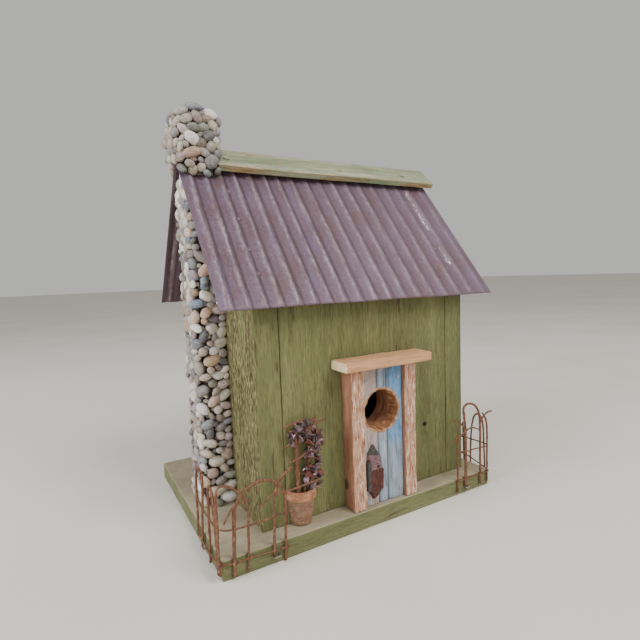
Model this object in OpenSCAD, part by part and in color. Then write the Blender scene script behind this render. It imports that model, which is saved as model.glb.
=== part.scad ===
// A cottage-shaped nest box on a board: two gable boards and two walls under a corrugated
// tin roof, with a pebbled chimney, a framed door around the entrance hole, wire garden
// fences, a potted vine and a swinging clean-out cover in the back wall.
// Origin: middle of the base board's underside.  +X is the house's right, -Y its front.

/* [House] */
// Outside width across both gable boards
house_w = 222; // [180:1:270]
// Depth of the gable boards, front to back
house_d = 175; // [145:1:215]
// Height above the base board at which the roof crosses the walls' outer faces
wall_h = 203; // [165:1:245]
// Slope of both roof sides, in degrees
roof_pitch = 51.2; // [48:0.1:54]
// Thickness of each gable board
gable_t = 22; // [16:0.5:27]
// Thickness of the front and back wall boards
wall_t = 19; // [14:0.5:23]
// Diameter of the small vent hole in the front wall
vent_d = 4.6; // [3:0.1:8]
// Distance from the vent hole to the front wall board's right end
vent_from_right = 28; // [15:1:40]
// Height of the vent hole above the base board
vent_h = 55; // [30:1:120]

/* [Base board] */
// Thickness of the base board
base_t = 16; // [12:0.5:22]
// Board left of the house, which carries the chimney
left_margin = 39; // [34:1:60]
// Board right of the house
right_margin = 18; // [12:1:40]
// Board in front of the house
front_margin = 18; // [16:1:30]
// Board behind the house
back_margin = 18; // [14:1:30]

/* [Tin roof] */
// Thickness of the roofing tin
tin_t = 0.5; // [0.4:0.1:0.8]
// Depth of the corrugations
wave_h = 2.4; // [1.5:0.1:4]
// Number of corrugations across one sheet
wave_count = 18; // [12:1:24]
// How far the eaves stand out from the walls, measured level
eave_over = 18; // [12:1:22]
// How far the tin stands out past the left gable, over the chimney
tin_left = 29; // [24:1:40]
// How far the tin stands out past the right gable
tin_right = 25; // [10:1:40]

/* [Ridge boards] */
// Width of each ridge board, down its slope
ridge_board_w = 29; // [22:1:40]
// Thickness of each ridge board
ridge_board_t = 6; // [4:0.5:8]
// Slope of the ridge boards, in degrees, flatter than the roof
ridge_board_pitch = 42; // [36:1:46]
// How far the ridge boards run past the tin's right edge
ridge_past_tin = 4; // [0:1:10]

/* [Chimney] */
// Width of the chimney's wooden core, front to back
core_w = 34; // [24:1:44]
// Thickness of the core that stands on the left gable
core_t = 19; // [12:0.5:24]
// Size of the largest pebbles
stone_d = 9; // [6:0.5:9.5]
// Width of the stack above the roof, left to right
stack_w = 22; // [16:1:30]
// Height of the stack's core above the tin's ridge
stack_rise = 29; // [15:1:45]
// How far the stack's right face stands left of the left gable's outer face
stack_set = 1.5; // [0:0.5:5]

/* [Door] */
// Diameter of the entrance hole
hole_d = 36; // [26:0.5:38.5]
// Height of the entrance hole's centre above the base board
hole_h = 83.5; // [70:0.5:95]
// Width of the door panel between its posts
panel_w = 43.5; // [42:0.5:60]
// How far the door is off the wall's centre, to the right
door_shift = 1.25; // [0:0.25:3]
// Thickness of the door panel
panel_t = 12.5; // [8:0.5:15]
// Width of each door post
post_w = 12.5; // [8:0.5:20]
// Depth of each door post, out from the wall
post_d = 18; // [16:0.5:18]
// Height of the posts and the panel
door_h = 122.5; // [105:0.5:135]
// Length of the lintel
lintel_w = 92; // [76:1:120]
// Depth of the lintel, out from the wall
lintel_d = 25.5; // [20:0.5:32]
// Thickness of the lintel
lintel_t = 9.5; // [7:0.5:14]
// How far the lintel is off centre, to the right
lintel_shift = 2.5; // [0:0.5:6]

/* [Hinge leaf on the door] */
// Width of the old hinge leaf
leaf_w = 17; // [10:0.5:18]
// Height of the leaf, tip to tip
leaf_h = 49; // [40:1:60]
// Thickness of the leaf
leaf_t = 1.5; // [1:0.1:2.5]
// Outside diameter of the leaf's knuckle
knuckle_d = 5; // [4:0.1:6]
// Height of the leaf's lower tip above the base board
leaf_low = 6; // [3:1:12]
// Diameter of the leaf's pin
leaf_pin_d = 2.4; // [1.6:0.1:2.8]

/* [Flower pot and vine] */
// Distance from the house's left face to the pot's middle
pot_from_left = 34.5; // [30:0.5:50]
// Outside diameter of the half pot's rim
pot_rim_d = 27; // [22:0.5:32]
// Outside diameter of the half pot's foot
pot_foot_d = 18; // [14:0.5:21]
// Height of the pot
pot_h = 30; // [24:1:40]
// Thickness of the pot's wall
pot_wall = 2; // [1.5:0.1:3]
// Height of the pot's thick rim band
pot_rim_h = 8; // [5:0.5:12]
// Depth of the moss below the pot's rim
moss_drop = 5; // [2:0.5:9]
// Height of the vine's stems above the base board
stem_h = 86; // [55:1:90]
// Diameter of the vine's wire stems
stem_d = 3; // [2:0.1:4]

/* [Wire fences] */
// Diameter of the upright fence wires
picket_d = 2.4; // [1.6:0.1:3]
// Diameter of the fence's rail wires
rail_d = 1.4; // [1:0.1:2]
// Height of the upper rail above the base board
rail_top_h = 22.5; // [15:0.5:30]
// How far the pickets reach down the base board's edge
picket_drop = 13; // [9:0.5:15]

/* [Clean-out] */
// Width of the clean-out hole in the back wall
cleanout_w = 55; // [40:1:75]
// Height of the clean-out hole
cleanout_h = 55; // [40:1:70]
// Height of the hole's lower edge above the base board
cleanout_low = 28; // [22:1:40]
// How far the cover laps past the hole on each side
cover_lap = 10; // [6:0.5:14]
// Thickness of the cover
cover_t = 10; // [7:0.5:13]
// Diameter of the screw that the cover swings on
pivot_d = 5; // [4:0.5:6]

/* [Fixings] */
// Diameter of the nail shanks
nail_d = 2.2; // [1.6:0.1:3]
// Length of the wall and roof nails under the head
nail_len = 32; // [25:1:40]
// Diameter of the base screws
screw_d = 4; // [3:0.5:5]
// Length of the base screws
screw_len = 42; // [35:1:55]

/* [Hidden] */
$fn = 32;

// clearances
seat_gap = 0.2;       // between pieces that are glued or hung side by side
run_gap = 0.1;        // radial, between a pin or screw and the hole it turns in
face_gap = 0.3;       // between the swinging cover and what it slides past
through = 1;          // how far a cutting shape runs past the face it cuts

// colours
wall_green = [0.47, 0.49, 0.30];
tin_purple = [0.47, 0.40, 0.45];
raw_wood = [0.82, 0.66, 0.50];
stone_grey = [0.70, 0.66, 0.58];
rust = [0.50, 0.27, 0.15];

// base board and house, worked out from the margins
base_w = left_margin + house_w + right_margin;
base_d = front_margin + house_d + back_margin;
left_x = left_margin - base_w / 2;
right_x = left_x + house_w;
mid_x = left_x + house_w / 2;
front_y = front_margin - base_d / 2;
back_y = front_y + house_d;
mid_y = front_y + house_d / 2;

// roof: the tin fills the depth roof_t between the gables' slopes and the outer plane
roof_t = wave_h + tin_t;
ridge_h = wall_h + house_d / 2 * tan(roof_pitch);
under_h = ridge_h - roof_t / cos(roof_pitch);
slope_start = roof_t * tan(roof_pitch) + 0.5;
slope_end = (house_d / 2 + eave_over) / cos(roof_pitch);
tin_w = tin_left + house_w + tin_right;
wave_pitch = tin_w / wave_count;
wave_steps = 6;

// ridge boards rest on the upper edges of the two sheets
ridge_seat_y = slope_start * cos(roof_pitch);
ridge_inner_h = ridge_h - slope_start * sin(roof_pitch) + ridge_seat_y * tan(ridge_board_pitch);
ridge_outer_h = ridge_inner_h + ridge_board_t / cos(ridge_board_pitch);

// chimney and stack
stack_right = left_x - stack_set;
stack_left = stack_right - stack_w;
stack_top = ridge_h + stack_rise;
stone_pitch = stone_d + 0.4;
stone_row = stone_d * 0.91;
stone_face_w = core_w + 1.56 * stone_d;

// door
hole_r = hole_d / 2;
door_x = mid_x + door_shift;
panel_y = front_y - panel_t;
knuckle_inset = 1;
knuckle_x = door_x - panel_w / 2 + knuckle_d / 2 + knuckle_inset;
pin_y = panel_y - knuckle_d / 2 - seat_gap;
leaf_foot = leaf_h * 0.18;
leaf_point = leaf_h * 0.27;
knuckle_h = leaf_h - leaf_foot - leaf_point;

// clean-out cover and its pivot
pivot_h = cleanout_low + cleanout_h + cover_lap + 1;
cover_top = pivot_h + cover_lap + 1;

// Outline of the house's end below the roof planes, as front-to-back and height above the base
function under_roof(d) = under_h - abs(d) * tan(roof_pitch);
// A repeatable scatter from 0 to 1 for the cell in column i and row j
function scatter(i, j) = 0.5 + 0.5 * sin(i * 137.5 + j * 81.3 + 20 * sin(i * 50 + j * 33));
// The corrugation crest nearest to a distance from the tin's left edge
function crest_near(d) = (round(d / wave_pitch - 0.5) + 0.5) * wave_pitch;
// Centre lines of the two gable boards
gable_centres = [left_x + gable_t / 2, right_x - gable_t / 2];

module on_base() {
    translate([0, 0, base_t]) children();
}

// Turns an outline drawn as (front-to-back, height) into a board that runs along X
module along_x(x, length) {
    translate([x, mid_y, base_t])
        rotate([90, 0, 90])
            linear_extrude(height = length) children();
}

// Places children on a roof side's outer plane: X along the ridge, Y down the slope, Z outward
module on_slope(side) {
    translate([0, mid_y, base_t + ridge_h])
        rotate([0, 0, side > 0 ? 180 : 0])
            rotate([roof_pitch, 0, 0])
                mirror([0, 1, 0]) children();
}

// Base screws: how tall their countersunk heads are, and how far these lie below the surface
head_h = screw_d * 0.5;
head_recess = 0.3;

module screw_places() {
    for (x = gable_centres)
        for (k = [-1, 0, 1])
            translate([x, mid_y + k * house_d * 0.36, 0]) children();
}

module base_board() {
    color(wall_green) difference() {
        translate([-base_w / 2, -base_d / 2, 0]) cube([base_w, base_d, base_t]);
        screw_places() {
            translate([0, 0, -through])
                cylinder(h = base_t + 2 * through, r = screw_d / 2 + seat_gap);
            translate([0, 0, -through])
                cylinder(h = through + head_recess, r = screw_d + seat_gap);
            translate([0, 0, head_recess])
                cylinder(h = head_h, r1 = screw_d + seat_gap, r2 = screw_d / 2 + seat_gap);
        }
    }
}

module gable_outline() {
    polygon([[-house_d / 2, 0], [house_d / 2, 0],
             [house_d / 2, under_roof(house_d / 2)],
             [0, under_h],
             [-house_d / 2, under_roof(house_d / 2)]]);
}

module left_gable() {
    color(wall_green) along_x(left_x, gable_t) gable_outline();
}

module right_gable() {
    color(wall_green) along_x(right_x - gable_t, gable_t) gable_outline();
}

// A wall board between the gables; its top is bevelled to the roof
module wall_board() {
    outer = house_d / 2;
    inner = outer - wall_t;
    along_x(left_x + gable_t, house_w - 2 * gable_t)
        polygon([[-outer, 0], [-inner, 0], [-inner, under_roof(inner)], [-outer, under_roof(outer)]]);
}

module front_wall() {
    vent_x = right_x - gable_t - vent_from_right;
    color(wall_green) difference() {
        wall_board();
        translate([mid_x, front_y - through, base_t + hole_h])
            rotate([-90, 0, 0]) cylinder(h = wall_t + 2 * through, r = hole_r, $fn = 64);
        translate([vent_x, front_y - through, base_t + vent_h])
            rotate([-90, 0, 0]) cylinder(h = wall_t + 2 * through, r = vent_d / 2);
    }
}

module back_wall() {
    color(wall_green) difference() {
        translate([2 * mid_x, 2 * mid_y, 0]) rotate([0, 0, 180]) wall_board();
        translate([mid_x - cleanout_w / 2, back_y - wall_t - through, base_t + cleanout_low])
            cube([cleanout_w, wall_t + 2 * through, cleanout_h]);
    }
}

// One corrugated sheet, laid from its upper edge down to the eave
module tin_sheet(side) {
    steps = wave_count * wave_steps;
    wave = [for (i = [0 : steps]) [i * tin_w / steps, wave_h / 2 * (1 - cos(i * 360 / wave_steps))]];
    outline = concat(wave, [for (i = [steps : -1 : 0]) wave[i] + [0, tin_t]]);
    edge = side > 0 ? -(left_x + house_w + tin_right) : left_x - tin_left;
    on_slope(side)
        translate([edge, slope_end, -roof_t])
            rotate([90, 0, 0])
                linear_extrude(height = slope_end - slope_start) polygon(outline);
}

module front_tin() {
    color(tin_purple) tin_sheet(-1);
}

module back_tin() {
    color(tin_purple) tin_sheet(1);
}

// side is -1 for the front ridge board and 1 for the back one
module ridge_board(side) {
    c = cos(ridge_board_pitch);
    s = sin(ridge_board_pitch);
    start = left_x + stone_d + 2 * seat_gap;
    outer = [ridge_board_w * c, ridge_outer_h - ridge_board_w * s];
    inner = outer + ridge_board_t * [-s, -c];
    outline = [[0, ridge_outer_h], outer, inner, [0, ridge_inner_h]];
    along_x(start, right_x + tin_right + ridge_past_tin - start)
        polygon([for (p = outline) [side * p[0], p[1]]]);
}

module front_ridge_board() {
    color(wall_green) ridge_board(-1);
}

module back_ridge_board() {
    color(wall_green) ridge_board(1);
}

module chimney_core() {
    top = under_roof(core_w / 2) - seat_gap;
    color(raw_wood) along_x(left_x - core_t, core_t)
        polygon([[-core_w / 2, 0], [core_w / 2, 0], [core_w / 2, top],
                 [0, under_h - seat_gap], [-core_w / 2, top]]);
}

// The stack's block is notched to sit astride the ridge
module stack_core() {
    low = ridge_h - core_w / 2 * tan(roof_pitch) + seat_gap;
    color(raw_wood) along_x(stack_left, stack_w)
        polygon([[-core_w / 2, low], [0, ridge_h + seat_gap], [core_w / 2, low],
                 [core_w / 2, stack_top], [-core_w / 2, stack_top]]);
}

// A field of pebbles on a flat face: X across, Y up from low, Z outward.  Alternate rows are
// staggered.  off is how far the face stands from the ridge line (0 when the roof slopes
// across the face).  The stones stay over (1) or under (-1) the roof, or run free of it (0).
module stone_field(w, low, high, off, roof_side) {
    cols = floor(w / stone_pitch);
    step = w / cols;
    rows = floor((high - low - stone_d - seat_gap) / stone_row) + 1;
    for (j = [0 : rows - 1])
        for (i = [0 : cols - 1 - j % 2]) {
            r = stone_d / 2 * (0.9 + 0.1 * scatter(i, j));
            x = -w / 2 + step * (i + 0.5 + (j % 2) / 2);
            y = low + stone_d / 2 + seat_gap + stone_row * j;
            d = off == 0 ? abs(x) : off + r;
            clear = (r + seat_gap) / cos(roof_pitch);
            fits = roof_side > 0 ? y > ridge_h + clear - d * tan(roof_pitch)
                                 : y < under_roof(d) - clear;
            if (fits || roof_side == 0) translate([x, y, r + seat_gap]) sphere(r = r, $fn = 20);
        }
}

module chimney_face_stones() {
    color(stone_grey) translate([left_x - core_t, mid_y, base_t])
        rotate([90, 0, -90])
            stone_field(stone_face_w, 0, under_h, 0, -1);
}

module chimney_side_stones() {
    color(stone_grey) for (side = [-1, 1])
        translate([left_x - core_t / 2, mid_y + side * core_w / 2, base_t])
            rotate([90, 0, side > 0 ? 180 : 0])
                stone_field(core_t, 0, under_h, core_w / 2, -1);
}

module stack_stones() {
    low = ridge_h - core_w / 2 * tan(roof_pitch);
    color(stone_grey) {
        for (side = [-1, 1]) {
            translate([side > 0 ? stack_right : stack_left, mid_y, base_t])
                rotate([90, 0, side * 90])
                    stone_field(stone_face_w, low, stack_top, 0, 1);
            translate([(stack_left + stack_right) / 2, mid_y + side * core_w / 2, base_t])
                rotate([90, 0, side > 0 ? 180 : 0])
                    stone_field(stack_w, low, stack_top, core_w / 2, 1);
        }
        translate([(stack_left + stack_right) / 2, mid_y, base_t + stack_top])
            stone_field(stack_w, -core_w / 2, core_w / 2, 0, 0);
    }
}

module door_panel() {
    color([0.58, 0.66, 0.72]) difference() {
        translate([door_x - panel_w / 2, panel_y, base_t]) cube([panel_w, panel_t, door_h]);
        translate([mid_x, panel_y - through, base_t + hole_h])
            rotate([-90, 0, 0]) cylinder(h = panel_t + 2 * through, r = hole_r, $fn = 64);
    }
}

// side is -1 for the left post and 1 for the right one
module door_post(side) {
    x = side < 0 ? door_x - panel_w / 2 - post_w : door_x + panel_w / 2;
    translate([x, front_y - post_d, base_t]) cube([post_w, post_d, door_h]);
}

module left_door_post() {
    color(raw_wood) door_post(-1);
}

module right_door_post() {
    color(raw_wood) door_post(1);
}

module door_lintel() {
    color(raw_wood)
        translate([mid_x - lintel_w / 2 + lintel_shift, front_y - lintel_d, base_t + door_h])
            cube([lintel_w, lintel_d, lintel_t]);
}

// The leaf hangs from its knuckle: a plate with a pointed top and a tapered foot
module hinge_leaf() {
    color(rust) difference() {
        union() {
            translate([knuckle_x, panel_y - seat_gap, base_t + leaf_low])
                rotate([90, 0, 0])
                    linear_extrude(height = leaf_t)
                        polygon([[0, leaf_foot], [leaf_w * 0.3, 0], [leaf_w, leaf_foot],
                                 [leaf_w, leaf_h - leaf_point], [leaf_w * 0.35, leaf_h],
                                 [0, leaf_h - leaf_point / 2]]);
            translate([knuckle_x, pin_y, base_t + leaf_low + leaf_foot])
                cylinder(h = knuckle_h, d = knuckle_d);
        }
        translate([knuckle_x, pin_y, base_t])
            cylinder(h = 2 * leaf_h, d = leaf_pin_d + 2 * run_gap);
    }
}

module hinge_pin() {
    stub = 1;
    color(rust) translate([knuckle_x, pin_y, base_t + leaf_low + leaf_foot])
        cylinder(h = knuckle_h + stub, d = leaf_pin_d);
}

// A nail that is driven along +Z, with its head's underside at z = 0
module nail(shank, length, head_t) {
    translate([0, 0, -head_t]) cylinder(h = head_t, d = 2.4 * shank);
    translate([0, 0, -head_t / 2]) cylinder(h = length + head_t / 2, d = shank);
}

module hinge_nails() {
    color(rust) for (t = [0.3, 0.58])
        translate([knuckle_x + leaf_w * 0.62, panel_y - seat_gap - leaf_t, base_t + leaf_low + leaf_h * t])
            rotate([-90, 0, 0]) nail(1.2, 9, 0.7);
}

module panel_nails() {
    inset = 4.5;
    color(rust) for (side = [-1, 1], h = [door_h - 12, 4])
        translate([door_x + side * (panel_w / 2 - inset), panel_y, base_t + h])
            rotate([-90, 0, 0]) nail(1.2, panel_t + 9, 0.5);
}

// Half a clay pot, its cut face glued to the front wall
module half_turned() {
    translate([left_x + pot_from_left, front_y - seat_gap, base_t])
        rotate([0, 0, 180]) rotate_extrude(angle = 180, $fn = 48) children();
}

module flower_pot() {
    rim_r = pot_rim_d / 2;
    foot_r = pot_foot_d / 2;
    band = 1.6;
    color([0.75, 0.49, 0.35]) half_turned()
        polygon([[0, 0], [foot_r, 0], [rim_r - band, pot_h - pot_rim_h], [rim_r, pot_h - pot_rim_h],
                 [rim_r, pot_h], [rim_r - band - pot_wall / 2, pot_h],
                 [foot_r - pot_wall, pot_wall], [0, pot_wall]]);
}

module pot_moss() {
    band = 1.6;
    low_r = pot_foot_d / 2 - pot_wall - seat_gap;
    high_r = pot_rim_d / 2 - band - pot_wall / 2 - seat_gap;
    moss_h = pot_h - moss_drop;
    moss_r = low_r + (high_r - low_r) * (moss_h - pot_wall) / (pot_h - pot_wall) - seat_gap;
    color([0.22, 0.20, 0.12]) half_turned()
        polygon([[0, pot_wall + seat_gap], [low_r, pot_wall + seat_gap],
                 [moss_r, moss_h], [0, moss_h + 1]]);
}

// Where the vine's three stems stand, as offsets from the pot's middle, with their heights
stems = [[-4.5, 1], [1, 0.86], [6, 0.72]];
stem_y = front_y - 5.5;

module vine_stems() {
    foot = pot_h - moss_drop - 6;
    color(rust) for (s = stems)
        translate([left_x + pot_from_left + s[0], stem_y, base_t + foot])
            cylinder(h = (stem_h - foot) * s[1], d = stem_d * (s[0] < 0 ? 1 : 0.7));
}

// Leaves cut from thin sheet, fixed in turn down each stem
module vine_leaves() {
    leaf_long = 8;
    leaf_wide = 4.8;
    leaf_thick = 0.8;
    rise = 7.5;
    color([0.38, 0.27, 0.28]) for (k = [0 : len(stems) - 1]) {
        s = stems[k];
        top = pot_h - moss_drop - 6 + (stem_h - pot_h + moss_drop + 6) * s[1];
        for (j = [0 : 5 - k])
            translate([left_x + pot_from_left + s[0], stem_y, base_t + top - 3 - j * rise])
                rotate([0, 35 * sin(j * 140 + k * 60), 0])
                    translate([-leaf_wide / 2, -leaf_long / 2, -leaf_thick / 2])
                        cube([leaf_wide, leaf_long, leaf_thick]);
    }
}

// An upright wire from the base board's lower edge to top, at x along its fence
module picket(x, lane, top) {
    translate([x, -lane, -picket_drop]) cylinder(h = top + picket_drop, d = picket_d, $fn = 20);
}

// One wire bent over into two pickets; spring is where its arch starts, turn how far it runs
module hoop(x, r, lane, spring, turn) {
    picket(x, lane, spring);
    translate([x + r, -lane, spring])
        rotate([90, 0, 0])
            rotate([0, 0, 180 - turn])
                rotate_extrude(angle = turn, $fn = 40)
                    translate([r, 0]) circle(d = picket_d, $fn = 20);
    if (turn == 180) picket(x + 2 * r, lane, spring);
}

// Lanes, measured out from the base board's edge: inner wires, rails, outer wires
inner_lane = picket_d / 2 + seat_gap;
lane_step = (picket_d + rail_d) / 2 + 0.05;
rail_lane = inner_lane + lane_step;
outer_lane = rail_lane + lane_step;

// Frames for the four fence runs.  X runs along the edge away from the corner, -Y faces out
module left_front_run() {
    translate([-base_w / 2, -base_d / 2, base_t]) children();
}

module left_side_run() {
    translate([-base_w / 2, -base_d / 2, base_t]) rotate([0, 0, 90]) mirror([0, 1, 0]) children();
}

module right_front_run() {
    translate([base_w / 2, -base_d / 2, base_t]) mirror([1, 0, 0]) children();
}

module right_side_run() {
    translate([base_w / 2, -base_d / 2, base_t]) rotate([0, 0, 90]) children();
}

// How long the rails run from the corner, and the picket that is stapled on each run
left_run = 58;
left_side = 60;
right_run = 48;
right_side = 42;
left_front_staple = 42;
left_side_staple = 40;
right_front_staple = 33;
right_side_staple = 28;

module left_fence_hoops() {
    color(rust) {
        left_front_run() {
            hoop(10.5, 20.25, outer_lane, 34, 180);
            hoop(1, 9.75, inner_lane, 47, 180);
            hoop(left_front_staple, 17, inner_lane, 40, 75);
        }
        left_side_run() {
            hoop(left_side_staple - 21, 10.5, inner_lane, 45, 180);
            picket(left_side_staple + 12, inner_lane, 48);
        }
    }
}

module right_fence_hoops() {
    color(rust) {
        right_front_run() {
            hoop(right_front_staple - 30, 15, inner_lane, 58, 180);
            picket(13.3, outer_lane, 54);
            picket(right_front_staple + 11, inner_lane, 44);
        }
        right_side_run() {
            hoop(right_side_staple - 18, 9, inner_lane, 40, 180);
            picket(right_side_staple + 10, inner_lane, 44);
        }
    }
}

// One bent rail wire for each height, run round the corner
module rails(front, side) {
    for (h = [rail_top_h, -3.5])
        translate([0, 0, base_t + h]) {
            translate([-rail_lane, -rail_lane, 0])
                rotate([0, 90, 0]) cylinder(h = front + rail_lane, d = rail_d, $fn = 20);
            translate([-rail_lane, -rail_lane - rail_d / 2, 0])
                rotate([-90, 0, 0]) cylinder(h = side + rail_lane, d = rail_d, $fn = 20);
        }
}

module left_fence_rails() {
    color(rust) translate([-base_w / 2, -base_d / 2, 0]) rails(left_run, left_side);
}

module right_fence_rails() {
    color(rust) translate([base_w / 2, -base_d / 2, 0]) mirror([1, 0, 0]) rails(right_run, right_side);
}

// A staple across one inner picket, with its legs in the base board's edge
module staple(x) {
    wire = 1;
    span = picket_d + 2.4;
    crown = picket_d + 2 * seat_gap;
    low = -picket_drop + 3.5;
    bite = 6;
    translate([x - span / 2 - wire / 2, -crown - wire, low]) cube([span + wire, wire, wire]);
    for (side = [-1, 1])
        translate([x + side * span / 2 - wire / 2, -crown - wire, low])
            cube([wire, crown + wire + bite, wire]);
}

module fence_staples() {
    color("silver") {
        left_front_run() staple(left_front_staple);
        left_side_run() staple(left_side_staple);
        right_front_run() staple(right_front_staple);
        right_side_run() staple(right_side_staple);
    }
}

module roof_nails() {
    crown_gap = 0.05;
    color("silver") for (side = [-1, 1], c = gable_centres) {
        edge = left_x - tin_left;
        x = edge + crest_near(c - edge);
        for (k = [0.25, 0.45, 0.65, 0.8])
            on_slope(side)
                translate([side > 0 ? -x : x, k * slope_end, crown_gap])
                    rotate([180, 0, 0]) nail(nail_d, nail_len * 0.7, 1);
    }
}

module ridge_nails() {
    color("silver") for (side = [-1, 1], c = gable_centres)
        translate([c + gable_t / 5 + side * nail_d, mid_y, base_t + ridge_outer_h])
            rotate([0, 0, side > 0 ? 180 : 0])
                rotate([ridge_board_pitch, 0, 0])
                    translate([0, -ridge_board_w * 0.55, 0])
                        rotate([180, 0, 0]) nail(nail_d, nail_len, 0.8);
}

// Driven through the gables into the ends of the wall boards
module wall_nails() {
    head_t = 1;
    color("silver") for (y = [front_y + wall_t / 2, back_y - wall_t / 2], h = [0.12, 0.5, 0.88]) {
        z = base_t + h * under_roof(house_d / 2 - wall_t / 2);
        translate([left_x + head_t, y, z]) rotate([0, 90, 0]) nail(nail_d, nail_len + 10, head_t);
        translate([right_x - head_t, y, z]) rotate([0, -90, 0]) nail(nail_d, nail_len + 10, head_t);
    }
}

// Countersunk screws up through the base board into the gables
module base_screws() {
    color("silver") screw_places() translate([0, 0, head_recess]) {
        cylinder(h = head_h, r1 = screw_d, r2 = screw_d / 2);
        cylinder(h = screw_len, r = screw_d / 2);
    }
}

// Hangs on one screw and swings aside; front-to-back it clears the wall by face_gap
module cleanout_cover() {
    w = cleanout_w + 2 * cover_lap;
    low = cleanout_low - cover_lap;
    color(wall_green) difference() {
        translate([mid_x - w / 2, back_y + face_gap, base_t + low])
            cube([w, cover_t, cover_top - low]);
        translate([mid_x, back_y + face_gap - through, base_t + pivot_h])
            rotate([-90, 0, 0]) cylinder(h = cover_t + 2 * through, r = pivot_d / 2 + run_gap);
    }
}

washer_y = back_y + face_gap + cover_t + face_gap;
washer_t = 1.2;

module cleanout_washer() {
    color("silver") translate([mid_x, washer_y, base_t + pivot_h])
        rotate([-90, 0, 0]) difference() {
            cylinder(h = washer_t, d = 2.6 * pivot_d);
            translate([0, 0, -through])
                cylinder(h = washer_t + 2 * through, r = pivot_d / 2 + run_gap);
        }
}

module cleanout_screw() {
    grip = wall_t - 3;
    length = grip + face_gap + cover_t + face_gap + washer_t;
    color("silver") translate([mid_x, back_y - grip, base_t + pivot_h])
        rotate([-90, 0, 0]) {
            cylinder(h = length, d = pivot_d);
            translate([0, 0, length]) cylinder(h = pivot_d * 0.55, d1 = 1.9 * pivot_d, d2 = 1.3 * pivot_d);
        }
}

base_board();
left_gable();
right_gable();
front_wall();
back_wall();
front_tin();
back_tin();
front_ridge_board();
back_ridge_board();
chimney_core();
stack_core();
chimney_face_stones();
chimney_side_stones();
stack_stones();
door_panel();
left_door_post();
right_door_post();
door_lintel();
hinge_leaf();
hinge_pin();
hinge_nails();
panel_nails();
flower_pot();
pot_moss();
vine_stems();
vine_leaves();
left_fence_hoops();
left_fence_rails();
right_fence_hoops();
right_fence_rails();
fence_staples();
roof_nails();
ridge_nails();
wall_nails();
base_screws();
cleanout_cover();
cleanout_screw();
cleanout_washer();
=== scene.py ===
import math
import bpy
import numpy as np
from mathutils import Matrix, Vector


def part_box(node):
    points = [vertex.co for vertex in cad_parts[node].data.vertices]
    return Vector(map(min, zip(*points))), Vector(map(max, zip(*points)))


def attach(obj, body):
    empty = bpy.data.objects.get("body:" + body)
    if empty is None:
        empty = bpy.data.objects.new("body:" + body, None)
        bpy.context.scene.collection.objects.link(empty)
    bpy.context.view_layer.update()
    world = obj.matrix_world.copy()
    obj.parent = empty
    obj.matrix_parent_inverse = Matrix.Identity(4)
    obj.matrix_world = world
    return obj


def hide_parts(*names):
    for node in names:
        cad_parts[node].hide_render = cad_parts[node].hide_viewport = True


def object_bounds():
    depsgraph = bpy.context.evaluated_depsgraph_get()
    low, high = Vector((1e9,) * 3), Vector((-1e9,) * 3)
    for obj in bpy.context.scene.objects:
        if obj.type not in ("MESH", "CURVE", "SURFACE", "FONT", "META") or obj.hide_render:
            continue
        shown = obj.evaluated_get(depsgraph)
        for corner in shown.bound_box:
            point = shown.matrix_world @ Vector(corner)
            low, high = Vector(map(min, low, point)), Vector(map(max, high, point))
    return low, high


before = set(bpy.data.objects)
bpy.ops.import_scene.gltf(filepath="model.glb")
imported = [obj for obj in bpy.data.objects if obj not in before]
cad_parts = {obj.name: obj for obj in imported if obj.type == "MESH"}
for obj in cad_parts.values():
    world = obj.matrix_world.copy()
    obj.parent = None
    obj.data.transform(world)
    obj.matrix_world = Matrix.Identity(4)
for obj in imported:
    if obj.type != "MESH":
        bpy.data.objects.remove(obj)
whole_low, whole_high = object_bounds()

# ---------------------------------------------------------------------------
# Camera, table and daylight.  A camera stands in front of the house's left corner at
# about the height of the door's lintel, over a plain pale table under soft lamps.
# ---------------------------------------------------------------------------


def aim(thing, place, forward, roll=0.0):
    """Puts a camera or lamp at a place, in metres, looking along forward.  Its side vector
    is forward crossed with up, and roll turns it about its own line of sight, in degrees."""
    f = np.array(forward, float)
    f /= np.linalg.norm(f)
    side = np.cross(f, [0, 0, 1.0])
    side /= np.linalg.norm(side)
    up = np.cross(side, f)
    a = math.radians(roll)
    side, up = side * math.cos(a) + up * math.sin(a), up * math.cos(a) - side * math.sin(a)
    m = np.eye(4)
    m[:3, 0], m[:3, 1], m[:3, 2], m[:3, 3] = side, up, -f, place
    thing.matrix_world = Matrix(m.tolist())


def put_in(name, data):
    """An object made of some data, put in the scene."""
    made = bpy.data.objects.new(name, data)
    bpy.context.scene.collection.objects.link(made)
    return made


view = bpy.data.cameras.new("view")
view.sensor_width = 36.0
view.lens = 25.6
camera = put_in("view", view)
aim(camera, (-0.2255, -0.4115, 0.218), (0.4927, 0.8648, -0.0970), -2.10)
bpy.context.scene.camera = camera


def lamp(name, place, target, size, power, colour):
    """A square soft lamp of a given size in metres, aimed from its place at a target."""
    light = bpy.data.lights.new(name, "AREA")
    light.size, light.energy, light.color = size, power, colour
    aim(put_in(name, light), place, np.subtract(target, place))


lamp("sky_lamp", (0.5, -1.3, 1.6), (0, 0, 0.15), 0.9, 31, (1.0, 0.985, 0.96))
lamp("left_lamp", (-1.7, -0.1, 0.9), (0, 0, 0.15), 0.9, 31, (0.93, 0.96, 1.0))
lamp("front_lamp", (-0.7, -1.7, 0.8), (0, 0, 0.1), 1.4, 9, (1.0, 0.97, 0.93))

world = bpy.data.worlds.new("room")
world.use_nodes = True
world.node_tree.nodes["Background"].inputs["Color"].default_value = (0.90, 0.89, 0.875, 1)
world.node_tree.nodes["Background"].inputs["Strength"].default_value = 0.62
bpy.context.scene.world = world


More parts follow.
